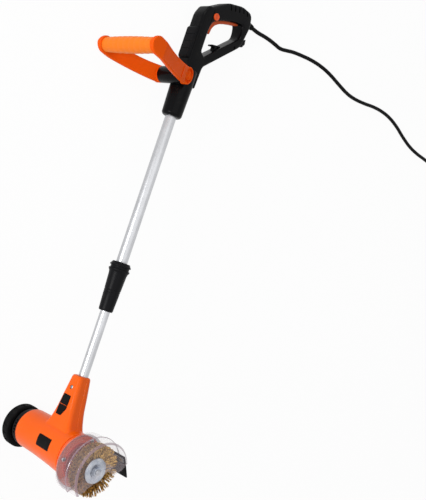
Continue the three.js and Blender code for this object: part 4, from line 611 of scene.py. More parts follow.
def piece(name, mesh, body, slot, stands_for=None, sharp=34):
    """Lays a mesh down with the tool, gives it the finish of its slot, hangs it on its body and hides the
    part it stands for.
    """
    mesh.transform(LAY_DOWN)
    made = as_object(mesh, name)
    made.data.polygons.foreach_set("use_smooth", [True] * len(made.data.polygons))
    made.data.set_sharp_from_angle(angle=math.radians(sharp))
    made.data.materials.append(FINISH[slot])
    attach(made, body)
    if stands_for:
        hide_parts(stands_for)
    return made


def in_halves(whole, sides, name, body, slot, node):
    """Parts a moulding at its seam and makes a piece of each half."""
    for side, (low, high) in sides.items():
        piece(side + name, shared(whole.copy(), box(low, high)), body, slot, side + node)
    whole.free()


# Cord: its route is on the floor, in the part's own frame
CORD_RADIUS = 4.2
FLOOR_GAP = 0.3
EXIT_HEIGHT = 935.5
CORD_EXIT = (0, 138.3, EXIT_HEIGHT)
CORD_ROUTE = [
    (482, -212), (480.5, -234), (479, -252), (483, -270), (488, -288), (493, -318), (496.5, -350),
    (496.5, -386), (493, -415), (485, -452), (478, -487), (476.5, -515), (480, -552), (486, -590),
    (488, -622), (485.5, -655), (477, -690), (463, -728), (451.5, -766), (446, -802), (444, -838),
    (442, -870),
]
COIL_TURNS = 4
COIL_RADIUS = 51.9
COIL_PITCH = 9.3
COIL_LIFT = 6.2
COIL_STEPS = 24
COIL_MIDDLE = (492, -930)
COIL_LEAD = 50
CLIMB_START = 0.47
CLIMB_END = 0.53


def coil_spot(share):
    """A spot on the coil, which winds inwards, climbs on itself and winds out again."""
    turn = math.pi + share * COIL_TURNS * math.tau
    radius = COIL_RADIUS - COIL_PITCH * COIL_TURNS * min(share, 1 - share)
    climb = min(1, max(0, (share - CLIMB_START) / (CLIMB_END - CLIMB_START)))
    rise = climb * climb * (3 - 2 * climb) * COIL_PITCH
    x = COIL_MIDDLE[0] + radius * math.cos(turn)
    y = COIL_MIDDLE[1] + radius * math.sin(turn)
    return Vector((x, y, COIL_LIFT + rise)) / METRE


def cord_points():
    leaves = TOOL @ (Vector(CORD_EXIT) / METRE)
    along = towards_user * 2 * CORD_RADIUS / METRE
    points = [leaves, leaves + along * 0.5, leaves + along, leaves + along * 2]
    points += [Vector((x, y, CORD_RADIUS + FLOOR_GAP)) / METRE for x, y in CORD_ROUTE]
    points.append(coil_spot(0) + Vector((0, 5 * CORD_RADIUS, 0)) / METRE)
    steps = COIL_TURNS * COIL_STEPS
    points += [coil_spot(i / steps) for i in range(steps + 1)]
    last = coil_spot(1)
    points.append(last - Vector((0, COIL_LEAD / 2, 0)) / METRE)
    points.append(last - Vector((0, COIL_LEAD, 0)) / METRE)
    return points


def make_cord(points):
    line = bpy.data.curves.new("mains_cord", "CURVE")
    line.dimensions = "3D"
    line.bevel_depth = CORD_RADIUS / METRE
    line.bevel_resolution = 6
    line.resolution_u = 6
    line.use_fill_caps = True
    spline = line.splines.new("BEZIER")
    spline.bezier_points.add(len(points) - 1)
    for knot, point in zip(spline.bezier_points, points):
        knot.co = point
        knot.handle_left_type = knot.handle_right_type = "AUTO"
    made = bpy.data.objects.new("mains_cord", line)
    scene.collection.objects.link(made)
    line.materials.append(FINISH["black_rubber"])
    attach(made, "handle")
    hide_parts("power_cord", "cord_coil")
    return made


# Plug: rows of share of its length, half its width, half its height and squareness
PLUG_LENGTH = 38
PLUG_ROWS = [
    (0, 7, 7, 2), (0.08, 7.6, 7.6, 2), (0.3, 9, 9, 2), (0.45, 13, 11.5, 2.4), (0.6, 17, 14, 2.9),
    (0.7, 18, 15, 3.2), (0.94, 18, 15, 3.2), (0.98, 17.4, 14.4, 3.2), (1, 16, 13, 3.2),
]
PIN_RADIUS = 2.4
PIN_LENGTH = 19
PIN_APART = 19
PLUG_GROOVE = (2, 0.7, 10)


def make_plug():
    x = COIL_MIDDLE[0] - COIL_RADIUS
    y = COIL_MIDDLE[1] - COIL_LEAD - FLOOR_GAP
    z = COIL_LIFT + COIL_PITCH
    moulding = lofted(
        ring((x, y - share * PLUG_LENGTH, z), (wide, 0, 0), (0, 0, high), square, 48)
        for share, wide, high, square in PLUG_ROWS
    )
    grooves = []
    for i in range(4):
        for side in (-1, 1):
            spot = (x + side * 17, y - PLUG_LENGTH * (0.66 + 0.07 * i), z)
            low, high = ([s + way * half for s, half in zip(spot, PLUG_GROOVE)] for way in (-1, 1))
            grooves.append(box(low, high))
    pins = []
    for side in (-1, 1):
        pin = rod(PIN_RADIUS, -PIN_LENGTH, 3, "Y", (x + side * PIN_APART / 2, z), 0.9, 24)
        pin.transform(Matrix.Translation((0, y - PLUG_LENGTH, 0)))
        pins.append(pin)
    made = joined(carved(moulding, *grooves), *pins)
    made.transform(LAY_DOWN.inverted() @ Matrix.Scale(1 / METRE, 4))
    return piece("plug_moulding", made, "handle", "black_plug", "mains_plug")


cord_line = cord_points()
cord = make_cord(cord_line)
plug = make_plug()


# Housing: the barrel's height and radius are given at three places along it
BARREL_START = -96
BARREL_END = 50
BARREL_HEIGHT = [(-94, 9), (0, 7.5), (50, 4.5)]
BARREL_RADIUS = [(-94, 38.8), (0, 41), (50, 43)]
BARREL_WALL = 2.6
NECK_WALL = 3
RIB_RADIUS = 43
SKIN_VOXEL = 1.25
SKIN_ROUNDS = 9
SEAM_HALF = 0.15
SEAT_GAP = 0.35
BARREL_MIDDLE = (0, 7.5)


def through(points, at):
    """A smooth run through three (place, value) points."""
    total = 0
    for i, (x, value) in enumerate(points):
        share = value
        for j, (other, _) in enumerate(points):
            if j != i:
                share *= (at - other) / (x - other)
        total += share
    return total


def eased(stations, at):
    """A smooth run through a list of (place, value, value...) rows, with no kink at a row."""
    last = len(stations) - 1
    i = next(k for k in range(last) if at <= stations[k + 1][0] or k == last - 1)
    before, row, after, beyond = (stations[min(last, max(0, k))] for k in range(i - 1, i + 3))
    span = after[0] - row[0]
    t = (at - row[0]) / span
    t2, t3 = t * t, t**3
    values = []
    for k in range(1, len(row)):
        m0 = (after[k] - before[k]) / (after[0] - before[0]) * span
        m1 = (beyond[k] - row[k]) / (beyond[0] - row[0]) * span
        start = (2 * t3 - 3 * t2 + 1) * row[k] + (t3 - 2 * t2 + t) * m0
        values.append(start + (3 * t2 - 2 * t3) * after[k] + (t3 - t2) * m1)
    return values


def circle(x, height, radius, steps=96):
    return ring((x, 0, height), (0, 0, radius), (0, radius, 0), steps=steps)


def barrel(grow=0.0, start=BARREL_START, end=BARREL_END, steps=96):
    rings = [circle(start, 9, 36.8 + grow, steps), circle(start + 0.6, 9, 38 + grow, steps)]
    for x in (start + 2, -70, -45, -20, 5, 30, end):
        rings.append(circle(x, through(BARREL_HEIGHT, x), through(BARREL_RADIUS, x) + grow, steps))
    return lofted(rings)


# Neck: rows of height and half its width in X and in Y, and at its top the corner too
NECK = [(22, 38, 22), (36, 38, 22), (55, 30, 20.5), (80, 23.5, 19), (104, 20, 18), (140.5, 14.5, 16)]
NECK_HEIGHTS = (22, 36, 42, 48, 55, 63, 71, 80, 92, 104, 116, 128, 140.5)
NECK_ENDS = [(142.7, 13.7, 15.2, 8.6), (144.5, 12.5, 14, 8)]
NECK_MIDDLE = -3
NECK_CORNER = 9


def neck_ring(half_x, half_y, height, corner):
    points = []
    for quarter, (side_x, side_y) in enumerate(((1, 1), (-1, 1), (-1, -1), (1, -1))):
        for step in range(9):
            turn = (quarter + step / 8) * math.pi / 2
            x = side_x * (half_x - corner) + corner * math.cos(turn)
            y = NECK_MIDDLE + side_y * (half_y - corner) + corner * math.sin(turn)
            points.append((x, y, height))
    return points


def neck(grow=0.0):
    rings = []
    for height in NECK_HEIGHTS:
        half_x, half_y = eased(NECK, height)
        rings.append(neck_ring(half_x + grow, half_y + grow, height, NECK_CORNER + grow / 2))
    for height, half_x, half_y, corner in NECK_ENDS:
        rings.append(neck_ring(half_x + grow, half_y + grow, height, corner))
    return lofted(rings)


# Insets and plate on the front of the housing: corners in X and Z
INSET = [(-11.78, 105), (8, 105), (8, 79.9), (-1.2, 64.5), (-15, 64.5), (-15, 85)]
INSET_MIDDLE = (-3.5, 0, 84.75)
INSET_HALF = (11.5, 20)
INSET_SPANS = {"upper_neck_inset": (85.7, 105), "lower_neck_inset": (64.5, 84.3)}
PLATE_LOW = (-21.5, -90, -1)
PLATE_HIGH = (17.5, 0, 21)
SEAT_PROUD = 2


def inset(low, high, grow, proud, depth):
    """A black cover on the neck's front: its outline between two heights, in the skin of the neck."""
    block = plate(INSET, 0, 45, reach=1.2, corner_steps=3)
    block.transform(Matrix.Rotation(-math.pi / 2, 4, "Z"))
    middle = Vector(INSET_MIDDLE)
    spread = Matrix.Diagonal((1 + grow / INSET_HALF[0], 1, 1 + grow / INSET_HALF[1], 1))
    block.transform(Matrix.Translation(middle) @ spread @ Matrix.Translation(-middle))
    band = box((-30, -60, low - grow), (30, 10, high + grow))
    return carved(shared(block, band, neck(proud)), neck(-depth))


def bare_plate(grow, proud, depth):
    low = [value - grow for value in PLATE_LOW]
    high = [value + grow for value in PLATE_HIGH]
    block = box(low, (high[0], 0, high[2]))
    edges = [e for e in block.edges if abs(e.verts[0].co.y - e.verts[1].co.y) > 10]
    bmesh.ops.bevel(block, geom=edges, offset=1.5, segments=4, profile=0.5, affect="EDGES", material=-1)
    return carved(shared(block, barrel(proud, steps=144)), barrel(-depth, steps=144))


# Screws: the shank's radius, the thread's pitch, and the cross as a share of the head's radius
SCREW_SHANK = 1.8
SCREW_PITCH = 1.2
CROSS_SHARE = 0.62
CROSS_HALF = 0.42
SCREW_IN_NECK = (0, 120.75)


def screw(name, matrix, head, body, length):
    """A pan-head screw with a cross recess; it is made standing on its shank and then placed."""
    top = spun([(0, 0), (0, head), (1.4, head), (2.2, head * 0.72), (2.35, 0)], 0.25, 48)
    wide = head * CROSS_SHARE
    cross = [box((1.2, -y, -z), (3, y, z)) for y, z in ((CROSS_HALF, wide), (wide, CROSS_HALF))]
    thread = [(-length, 0), (SCREW_PITCH - length, SCREW_SHANK * 0.55)]
    for i in range(int((length - 2) / SCREW_PITCH)):
        at = -length + 1.6 + i * SCREW_PITCH
        thread += [(at, SCREW_SHANK * 0.72), (at + SCREW_PITCH / 2, SCREW_SHANK)]
    thread += [(0.1, SCREW_SHANK * 0.8), (0.1, 0)]
    made = joined(carved(top, *cross), spun(thread, 0, 20))
    made.transform(matrix)
    return piece(name + "_turned", made, body, "steel", name)


# Ribs that hold the inner pieces: start and width
HOUSING_RIBS = ((-91, 7), (-56.4, 4), (-22.2, 4), (9, 7), (44, 6))
# Bores in the housing: radius, start, end and place
HOUSING_BORES = [
    (9.8, -91, -82, MOTOR_MIDDLE),
    (9.8, 7, 16, MOTOR_MIDDLE),
    (3.5, 7, 33, MOTOR_MIDDLE),
    (29.3, -60.5, -14.5, MOTOR_MIDDLE),
    (3.3, 11, 48, (19.046, 14.603)),
    (11.3, 42, 52, MIDDLE),
]
TUBE_BORE = 9.8
TUBE_SOCKET = 12.8
HOUSING_SIDES = {
    "front": ((-120, -90, -60), (70, -SEAM_HALF, 160)),
    "rear": ((-120, SEAM_HALF, -60), (70, 90, 160)),
}


def make_housing():
    outer = softened(joined(barrel(), neck()), SKIN_VOXEL, SKIN_ROUNDS)
    hollow = barrel(-BARREL_WALL, BARREL_START + BARREL_WALL, BARREL_END - BARREL_WALL, 48)
    inner = joined(hollow, neck(-NECK_WALL))
    ribs = [rod(RIB_RADIUS, at, at + width, "X", BARREL_MIDDLE) for at, width in HOUSING_RIBS]
    inner = carved(inner, *ribs, rod(TUBE_SOCKET, 58, 146, "Z"))
    bores = [rod(TUBE_BORE, 57.7, 147, "Z")]
    bores += [rod(radius, start, end, "X", place) for radius, start, end, place in HOUSING_BORES]
    bores.append(carved(rod(33, 47.1, 52), rod(14, 44, 53)))
    seats = [inset(low, high, SEAT_GAP, SEAT_PROUD, 1.8) for low, high in INSET_SPANS.values()]
    seats.append(bare_plate(SEAT_GAP, SEAT_PROUD, 2.0))
    seats.append(rod(4.2, -30, -15.4, "Y", SCREW_IN_NECK))
    whole = carved(outer, joined(inner, *bores), gathered(seats))
    in_halves(whole, HOUSING_SIDES, "_housing_moulding", "head", "orange_housing", "_motor_housing")


def make_head_trim():
    for name, (low, high) in INSET_SPANS.items():
        piece(name + "_cover", inset(low, high, 0, 0.9, 1.5), "head", "black_trim", name)
    piece("bare_plate", bare_plate(0, 0.5, 1.7), "head", "black_trim", "housing_plate")
    x, z = SCREW_IN_NECK
    turn = Matrix.Translation((x, -17.7, z)) @ Matrix.Rotation(-math.pi / 2, 4, "Z")
    screw("housing_screw_1", turn, 3.6, "head", 4.6)


# Gear case: rings of place, height and radius before and after its flare
GUARD_SCREWS = [(10.69, 41.65), (-42.92, 2.7)]
GUARD_SCREW_BORE = 2.1
CASE_FOOT = [(50.3, 4.5, 39.8), (52, 4.5, 39.8), (52.6, 4.5, 43.2), (53.4, 4.4, 43.9)]
CASE_FLARE_LENGTH = 8
CASE_FLARE_GROWTH = 4.6
CASE_FLANGE = [(61.8, 0, 48.7), (62.4, 0, 49), (64.5, 0, 49), (65, 0, 48.5)]
CASE_NOSE = 37
# Its bores: radius, start, end and steps
CASE_BORES = [(33, 48, 61, 72), (11.3, 59, 70, 48), (5.5, 68, 74, 48)]


def make_gear_case():
    rings = [circle(*row) for row in CASE_FOOT]
    start, height, radius = CASE_FOOT[-1]
    for share in (0.2, 0.4, 0.6, 0.8):
        rise = share * share * (3 - 2 * share)
        x = start + CASE_FLARE_LENGTH * share
        rings.append(circle(x, height * (1 - rise), radius + CASE_FLARE_GROWTH * rise))
    rings += [circle(*row) for row in CASE_FLANGE]
    case = joined(lofted(rings), rod(CASE_NOSE, 52.3, 72, soft=0.8, steps=96))
    cuts = [rod(radius, start, end, steps=steps) for radius, start, end, steps in CASE_BORES]
    cuts += [rod(GUARD_SCREW_BORE, 57.2, 67, "X", place) for place in GUARD_SCREWS]
    piece("gear_case_moulding", carved(case, *cuts), "head", "orange_gear_case", "gear_case")


# Guard: (place, radius) points of its outside, with the bead and the rim, and back along its inside
GUARD_RADIUS = 60
GUARD_WALL = [
    (65.3, 37.3), (65.3, 49), (66.2, 52.4), (68.6, 56), (72, 58.8), (76.3, 60), (102.4, 60), (103.6, 61.4),
    (105, 62), (106.4, 61.4), (107.6, 60), (129.6, 60), (133, 57), (133, 45.6), (134, 44.6), (134.6, 43.5),
    (134, 42.4), (133, 41.4), (133, 0), (130.6, 0), (130.6, 57.6), (77.5, 57.6), (73.4, 56.5),
    (70.4, 53.8), (68.4, 50.6), (67.7, 46.6), (67.7, 37.3),
]
# Its open mouth, as shares of its radius, with the reach of each corner
GUARD_MOUTH = [
    (-1.6, -1.545), (0.35, 0.305), (0.45, 0), (0.72, 0.2), (0.9, 0.47), (1.7, 0.93), (1.7, -1.7),
    (-1.6, -1.7),
]
GUARD_MOUTH_REACH = [0, 3, 3, 3, 0, 0, 0, 0]


def make_guard():
    shell = spun(GUARD_WALL, 0.45, 144)
    bmesh.ops.holes_fill(shell, edges=shell.edges, sides=0)
    corners = [(y * GUARD_RADIUS, z * GUARD_RADIUS) for y, z in GUARD_MOUTH]
    mouth = plate(corners, 68, 140, reach=GUARD_MOUTH_REACH)
    bores = [rod(GUARD_SCREW_BORE, 63, 70, "X", place) for place in GUARD_SCREWS]
    guard = carved(shell, mouth, *bores)
    piece("clear_guard_moulding", guard, "head", "clear_plastic", "clear_guard", 30)
    for i, (y, z) in enumerate(GUARD_SCREWS):
        screw("guard_screw_%d" % (i + 1), Matrix.Translation((68.1, y, z)), 4, "head", 10.8)


# Flap: its turns are shares of half a turn about the brush
FLAP_START, FLAP_BEND = 0.215, 0.135
FLAP_LENGTH = 29
FLAP_LEAN = 0.333
FLAP_OUTER, FLAP_INNER = 57.3, 54.8
STRIP_START, STRIP_END = 0.2, 0.15
STRIP_OUTER, STRIP_INNER = 54.5, 52.5


def arc(radius, start, end, steps):
    turns = [math.pi * (start + (end - start) * i / steps) for i in range(steps + 1)]
    return [(radius * math.cos(turn), radius * math.sin(turn)) for turn in turns]


def hang(radius):
    """Where the flap ends that leaves the guard at this radius."""
    turn, lean = math.pi * FLAP_BEND, math.pi * FLAP_LEAN
    y, z = radius * math.cos(turn), radius * math.sin(turn)
    return (y + FLAP_LENGTH * math.cos(lean), z - FLAP_LENGTH * math.sin(lean))


def make_flap():
    rubber = arc(FLAP_OUTER, FLAP_START, FLAP_BEND, 10) + [hang(FLAP_OUTER), hang(FLAP_INNER)]
    rubber += arc(FLAP_INNER, FLAP_BEND, FLAP_START, 10)
    flap = plate(rubber, 79, 129.5, soft=0.5, steps=3)
    piece("flap_rubber", flap, "head", "black_rubber", "rubber_flap", 25)
    strip = arc(STRIP_OUTER, STRIP_START, STRIP_END, 8) + arc(STRIP_INNER, STRIP_END, STRIP_START, 8)
    pressed = plate(strip, 82, 126.5, soft=0.3, steps=2)
    piece("flap_strip_pressed", pressed, "head", "steel", "flap_strip", 25)


# Wire brush: a tenth of it is made wire by wire and turned about the spindle
DISC_IN, DISC_OUT = 5.9, 7.9
WIRE_SECTORS = 10
WIRE_TUFTS = 56
WIRES_IN_TUFT = 10
WIRE_RADIUS = 0.24
WIRE_FOOT = 18
WIRE_LEVELS = 4
WIRES_START, WIRES_END = 93.1, 116.9
SPINDLE_BORE = 5.3


def hub_disc(side):
    """A pressed disc: a flat middle for the nut, a raised ring and a rolled rim."""
    near, far = BRUSH_MIDDLE + side * DISC_IN, BRUSH_MIDDLE + side * DISC_OUT
    face = [
        (0, SPINDLE_BORE), (0, 10.2), (0.5, 11.6), (1.7, 13.4), (2, 15), (2, 19), (1.6, 20.4), (1, 20.9),
        (1.1, 21.6), (0.9, 22.8), (-0.2, 24),
    ]
    profile = [(near, SPINDLE_BORE), *((far + side * out, radius) for out, radius in face), (near, 24)]
    return spun(profile, 0.25, closed=True)


def wire_spots(seed, turn, aside, bend, reach):
    """Where one wire runs from the hub to its tip: it leans aside and bends as its tuft does."""
    spots = []
    for level in range(WIRE_LEVELS + 1):
        up = level / WIRE_LEVELS
        radius = WIRE_FOOT + (reach + seed.uniform(-0.8, 0.7) * up - WIRE_FOOT) * up
        spread = seed.uniform(-1.3, 1.3) * (1.2 - 0.4 * up)
        x = min(WIRES_END, max(WIRES_START, BRUSH_MIDDLE + aside * (4 + 6.5 * up * up) + spread))
        swing = turn + (bend + seed.uniform(-0.03, 0.03)) * up
        spots.append(Vector((x, radius * math.cos(swing), radius * math.sin(swing))))
    return spots


def add_wire(mesh, spots):
    foot = bmesh.ops.create_circle(mesh, cap_ends=True, radius=WIRE_RADIUS, segments=3)["verts"]
    out = (spots[1] - spots[0]).to_track_quat("Z", "Y").to_matrix().to_4x4()
    bmesh.ops.transform(mesh, verts=foot, matrix=Matrix.Translation(spots[0]) @ out)
    face = foot[0].link_faces[0]
    for first, second in zip(spots, spots[1:]):
        face = bmesh.ops.extrude_discrete_faces(mesh, faces=[face])["faces"][0]
        bmesh.ops.translate(mesh, verts=list(face.verts), vec=second - first)


def make_wires():
    sector = bmesh.new()
    seed = random.Random(7)
    for tuft in range(WIRE_TUFTS):
        aside = seed.uniform(-1, 1)
        bend = seed.uniform(-0.022, 0.022)
        reach = seed.uniform(46.9, 48.9)
        for _ in range(WIRES_IN_TUFT):
            turn = (tuft + seed.random()) / WIRE_TUFTS * math.tau / WIRE_SECTORS
            add_wire(sector, wire_spots(seed, turn, aside, bend, reach))
    bmesh.ops.recalc_face_normals(sector, faces=sector.faces)
    swept(sector, math.tau * (WIRE_SECTORS - 1) / WIRE_SECTORS, WIRE_SECTORS - 1, True)
    core = spun([(99.5, 15), (110.5, 15), (110.5, 20), (99.5, 20)], 0.5, 72, closed=True)
    wires = gathered([core, sector])
    bmesh.ops.recalc_face_normals(wires, faces=wires.faces)
    return wires


NUT_ACROSS = 9.5
NUT = [(113.2, 0), (113.2, 8.6), (114, NUT_ACROSS), (118.4, NUT_ACROSS), (119.2, 8.6), (119.2, 0)]
SPINDLE_RADIUS = 5
THREAD_DEPTH = 0.45
THREAD_TURNS = 22
THREAD_PITCH = 1.05


def make_brush():
    piece("outer_disc_pressing", hub_disc(1), "brush", "zinc_disc", "outer_hub_disc")
    piece("inner_disc_pressing", hub_disc(-1), "brush", "zinc_disc", "inner_hub_disc")
    piece("brass_wires", make_wires(), "brush", "brass_wire", "wire_bristles", 60)

    nut = shared(rod(NUT_ACROSS, 113, 119.4, steps=6), spun(NUT, 0.15, 72))
    nut = carved(nut, rod(SPINDLE_BORE, 112, 121))
    piece("hexagon_nut", nut, "brush", "zinc_disc", "spindle_nut")
    shaft = [(32.7, 0), (32.7, 4.4), (33.3, SPINDLE_RADIUS), (98, SPINDLE_RADIUS)]
    for i in range(THREAD_TURNS):
        at = 98.4 + i * THREAD_PITCH
        shaft += [(at, SPINDLE_RADIUS - THREAD_DEPTH), (at + 0.5, SPINDLE_RADIUS)]
    shaft += [(121.4, 4.6), (122.2, 3.9), (122.2, 0)]
    spindle = joined(spun(shaft, 0, 48), rod(9.2, 72.5, 96.8, soft=0.6))
    piece("turned_spindle", spindle, "brush", "steel", "brush_spindle")


# Rear cap and wheel
REAR_CAP = [(-96.3, 0), (-96.3, 36.5), (-107.3, 36.5), (-109.6, 35.6), (-111.3, 32.5), (-111.3, 0)]
VENTS = 7
VENT_PITCH = 6
VENT_HALF = 1.5
VENT_ALONG = (-104.3, -99.3)
VENT_SPANS = ((-38.5, -32.5), (32.5, 38.5))
TREAD = [
    (-115, 33.8), (-115, 39.6), (-115.9, 41.7), (-118, 42.8), (-131, 42.8), (-133.1, 41.7), (-134, 39.6),
    (-134, 33.8),
]
TREAD_NOTCHES = 16
HUB = [
    (-114.7, 4.3), (-114.7, 12), (-116.5, 13.2), (-120.7, 30), (-115, 33.5), (-133.7, 33.5), (-133.7, 30.2),
    (-127.7, 29.6), (-127.7, 12), (-129.25, 11.6), (-129.25, 4.3),
]
HUB_SPOKES = 6
WHEEL_BOLT = [
    (-133.7, 0), (-133.7, 6.6), (-132.8, 7.5), (-129.7, 7.5), (-129.7, 4), (-101.8, 4), (-101.3, 3.4),
    (-101.3, 0),
]


def round_wheel(count, low, high, soft):
    """Boxes set evenly round the wheel's axis, each made above it."""
    boxes = []
    middle = Matrix.Translation((0, *WHEEL_MIDDLE))
    for i in range(count):
        made = box(low, high, soft)
        made.transform(middle @ Matrix.Rotation(math.tau * i / count, 4, "X"))
        boxes.append(made)
    return boxes


def make_wheel():
    cap = spun(REAR_CAP, 0.5, at=BARREL_MIDDLE)
    vents = []
    for i in range(VENTS):
        z = BARREL_MIDDLE[1] + (i - (VENTS - 1) / 2) * VENT_PITCH
        for span in VENT_SPANS:
            low, high = zip(VENT_ALONG, span, (z - VENT_HALF, z + VENT_HALF))
            vents.append(box(low, high, 0.6))
    cap = carved(cap, rod(4.3, -113.3, -101, "X", WHEEL_MIDDLE), gathered(vents))
    piece("rear_cap_moulding", cap, "head", "black_collar", "rear_end_cap")

    notches = gathered(round_wheel(TREAD_NOTCHES, (-131.4, -2.94, 41.2), (-117.6, 2.94, 46), 0.7))
    tyre = carved(spun(TREAD, 0.4, 128, closed=True, at=WHEEL_MIDDLE), notches)
    piece("ribbed_tyre", tyre, "wheel", "tyre_rubber", "wheel_tyre")
    spokes = round_wheel(HUB_SPOKES, (-131.5, -1.3, 11), (-127, 1.3, 31), 0.5)
    hub = joined(spun(HUB, 0.35, closed=True, at=WHEEL_MIDDLE), *spokes)
    piece("spoked_hub", hub, "wheel", "black_trim", "wheel_hub")
    bolt = carved(spun(WHEEL_BOLT, 0.15, 48, at=WHEEL_MIDDLE), rod(3.6, -135, -131, "X", WHEEL_MIDDLE, 0, 6))
    piece("wheel_bolt", bolt, "head", "steel", "wheel_axle_bolt")


# Tubes and collar: (place up the tube, radius) points
LOWER_TUBE = [(58, 8.3), (58, 9.5), (533.9, 9.5), (533.9, 8.3)]
UPPER_TUBE = [(339.3, 10), (339.3, 11.2), (802, 11.2), (802, 10)]
BUSH = [(281, 10), (281, 12), (339, 12), (339, 10)]
COLLAR = [
    (276, 11.4), (276, 12.9), (277, 13.7), (279, 14.25), (300, 15.3), (312.6, 15.95), (313, 15.5),
    (314, 15.5), (314.4, 16), (317.4, 16.15), (317.8, 15.7), (318.8, 15.7), (319.2, 16.25), (350, 17.85),
    (354, 18.7), (357.8, 20.9), (360.4, 21), (360.8, 18.8), (365.6, 18.6), (366, 20.9), (368.2, 20.9),
    (371.5, 18.4), (374, 17.4), (374, 11.7), (342, 11.7), (341.7, 12.5), (280.7, 12.5),
]


def up_the_tube(profile, steps=72):
    return spun(profile, 0.3, steps, True, "Z")


def make_tubes():
    piece("lower_tube_drawn", up_the_tube(LOWER_TUBE), "head", "tube_aluminium", "lower_tube")
    piece("upper_tube_drawn", up_the_tube(UPPER_TUBE), "handle", "tube_aluminium", "upper_tube")
    bush = carved(up_the_tube(BUSH), box((-1, 6, 278), (1, 14, 330)))
    piece("slit_bush", bush, "handle", "white_bush", "collar_bush")
    piece("tapered_collar", up_the_tube(COLLAR, 96), "collar", "black_collar", "twist_collar")


# D-handle: corners in Y and Z, and the reach of each corner's rounding
HANDLE = [
    (-18, 782), (-18, 889), (-9, 909), (2, 912.5), (40, 940), (80, 953.1), (111, 952.2), (118, 926),
    (108.9, 877), (24.8, 793), (22.5, 747), (-18, 747),
]
HANDLE_REACH = [2, 6, 5, 4, 7, 8, 10, 6, 9, 6, 0, 0]
OPENING = [
    (8.5, 834), (8.5, 868), (12, 882), (22.5, 892.5), (47.7, 905.1), (76.6, 915.5), (94.8, 919),
    (99, 905), (99, 891), (19, 813), (8.5, 820),
]
OPENING_REACH = [4, 5, 5, 6, 7, 7, 5, 5, 7, 3.5, 3]
COVER = [(2, 905), (40, 932.5), (80, 945.6), (111, 944.7), (118, 944.7), (140, 944.7), (140, 970), (2, 970)]
TRIGGER = [
    (22.5, 863), (24.1, 875.7), (28.9, 885.2), (39.6, 894.1), (58.7, 903.6), (90, 915), (95, 926), (90, 929),
    (58.7, 917.6), (39.6, 908.1), (19.3, 890.9), (17.5, 875.7), (17.5, 863),
]
TRIGGER_REACH = [1.5, 3, 4, 5, 6, 3, 3, 1, 5, 4, 4, 3, 1.5]
SLEEVE = [(677, 0), (677, 15.5), (678.4, 18.4), (682, 20.5), (747, 22.5), (775, 22.5), (780, 15.5), (780, 0)]
HOLLOW = [
    (8.5, 889), (8.5, 902), (36.5, 916), (64.5, 934.2), (97, 937.2), (97, 930.6), (83, 929.3), (57.5, 918.4),
    (29.5, 898.6),
]
SWITCH_BAR = [(38, 845.5), (62, 852.5), (62, 856.3), (38, 849.3)]
SWITCH_STEM = [(48, 830), (58, 836), (54, 852), (47, 850)]
REAR_TAB = [(104, 884), (112.5, 878.5), (118.5, 888), (116, 898)]
SIDE_CHANNEL = [(40, 810.5), (94.2, 864.6), (90.7, 871.6), (36.5, 817.5)]
HANDLE_LEFT, HANDLE_RIGHT = -16.7, 17
HANDLE_SOFT = 5.5
TRIGGER_ROOM = 1.03
TRIGGER_TURNS = (0, -6.5)
PIN_BORE = 2.3
LOCK_BUTTON = (15, 896.5)
BUTTON = [(8, 0), (8, 7), (18.7, 7), (19.6, 6.2), (19.6, 4.4), (18.9, 3.9), (18.9, 0)]
SWITCH_ROOM = ((-8.3, 55.7, 927.5), (8.3, 82.3, 936.5))
HANDLE_SCREWS = [(-8.2, 809.2), (109.5, 896), (36.5, 920.2)]
SCREW_SEAT = -13.4
PIVOT_BORE = 4.3
# Bores in the handle: radius, start, end, axis, place and steps
HANDLE_BORES = [
    (11.5, 675, 802.3, "Z", MIDDLE, 48),
    (3, 800, 901, "Z", (-7.2, 0), 24),
    (PIN_BORE, -13.3, 13.3, "X", TRIGGER_PIVOT, 24),
    (7.5, 0, 19, "X", LOCK_BUTTON, 48),
    (PIVOT_BORE, -32, 32, "X", PIVOT, 32),
    (7.8, 97, 122, "Y", (0, EXIT_HEIGHT), 48),
]
HANDLE_SIDES = {
    "right": ((SEAM_HALF, -60, 670), (40, 140, 970)),
    "left": ((-40, -60, 670), (-SEAM_HALF, 140, 970)),
}


def across(side, near, far):
    """Two places in X on one side of the tool, 1 for the right and -1 for the left, the lower one first."""
    return sorted((side * near, side * far))


def handle_plate(hole=None, hole_reach=None):
    return plate(HANDLE, HANDLE_LEFT, HANDLE_RIGHT, HANDLE_REACH, HANDLE_SOFT, hole, hole_reach, steps=6)


def handle_body():
    sleeve = spun(SLEEVE, 1.2, axis="Z")
    hub = rod(16.5, -30, 30, "X", PIVOT, 1.2, 72)
    web = box((-16.5, PIVOT[0], 743.75), (16.5, 0, 760.25))
    bar = plate(SWITCH_BAR, -6, 6, 1.6, 1.2)
    stem = plate(SWITCH_STEM, -6, 6, 0, 1.2)
    tab = plate(REAR_TAB, -15, 15, 1.6, 1.2)
    return joined(handle_plate(OPENING, OPENING_REACH), sleeve, hub, web, bar, stem, tab)


def trigger_room(turn):
    """The trigger's outline, a little larger, turned about its pin by this many degrees."""
    room = plate(TRIGGER, -6, 6)
    pin = Matrix.Translation((0, *TRIGGER_PIVOT))
    turned = Matrix.Rotation(math.radians(turn), 4, "X")
    room.transform(pin @ turned @ Matrix.Scale(TRIGGER_ROOM, 4) @ pin.inverted())
    return room


# Pad on the handle's front: corners in Y and Z, and the ways that each one moves as the pad grows
PAD = [((-23, 795.5), (-1, -1)), ((-23, 858.5), (-1, 1)), ((-13, 862), (1, 1)), ((-13, 792), (1, -1))]
PAD_REACH = [4.2, 4.2, 0, 0]
PAD_HALF = 14.5
PAD_SOFT = 3.2
PAD_GAP = 0.3
PAD_LINES = (812, 827, 842)


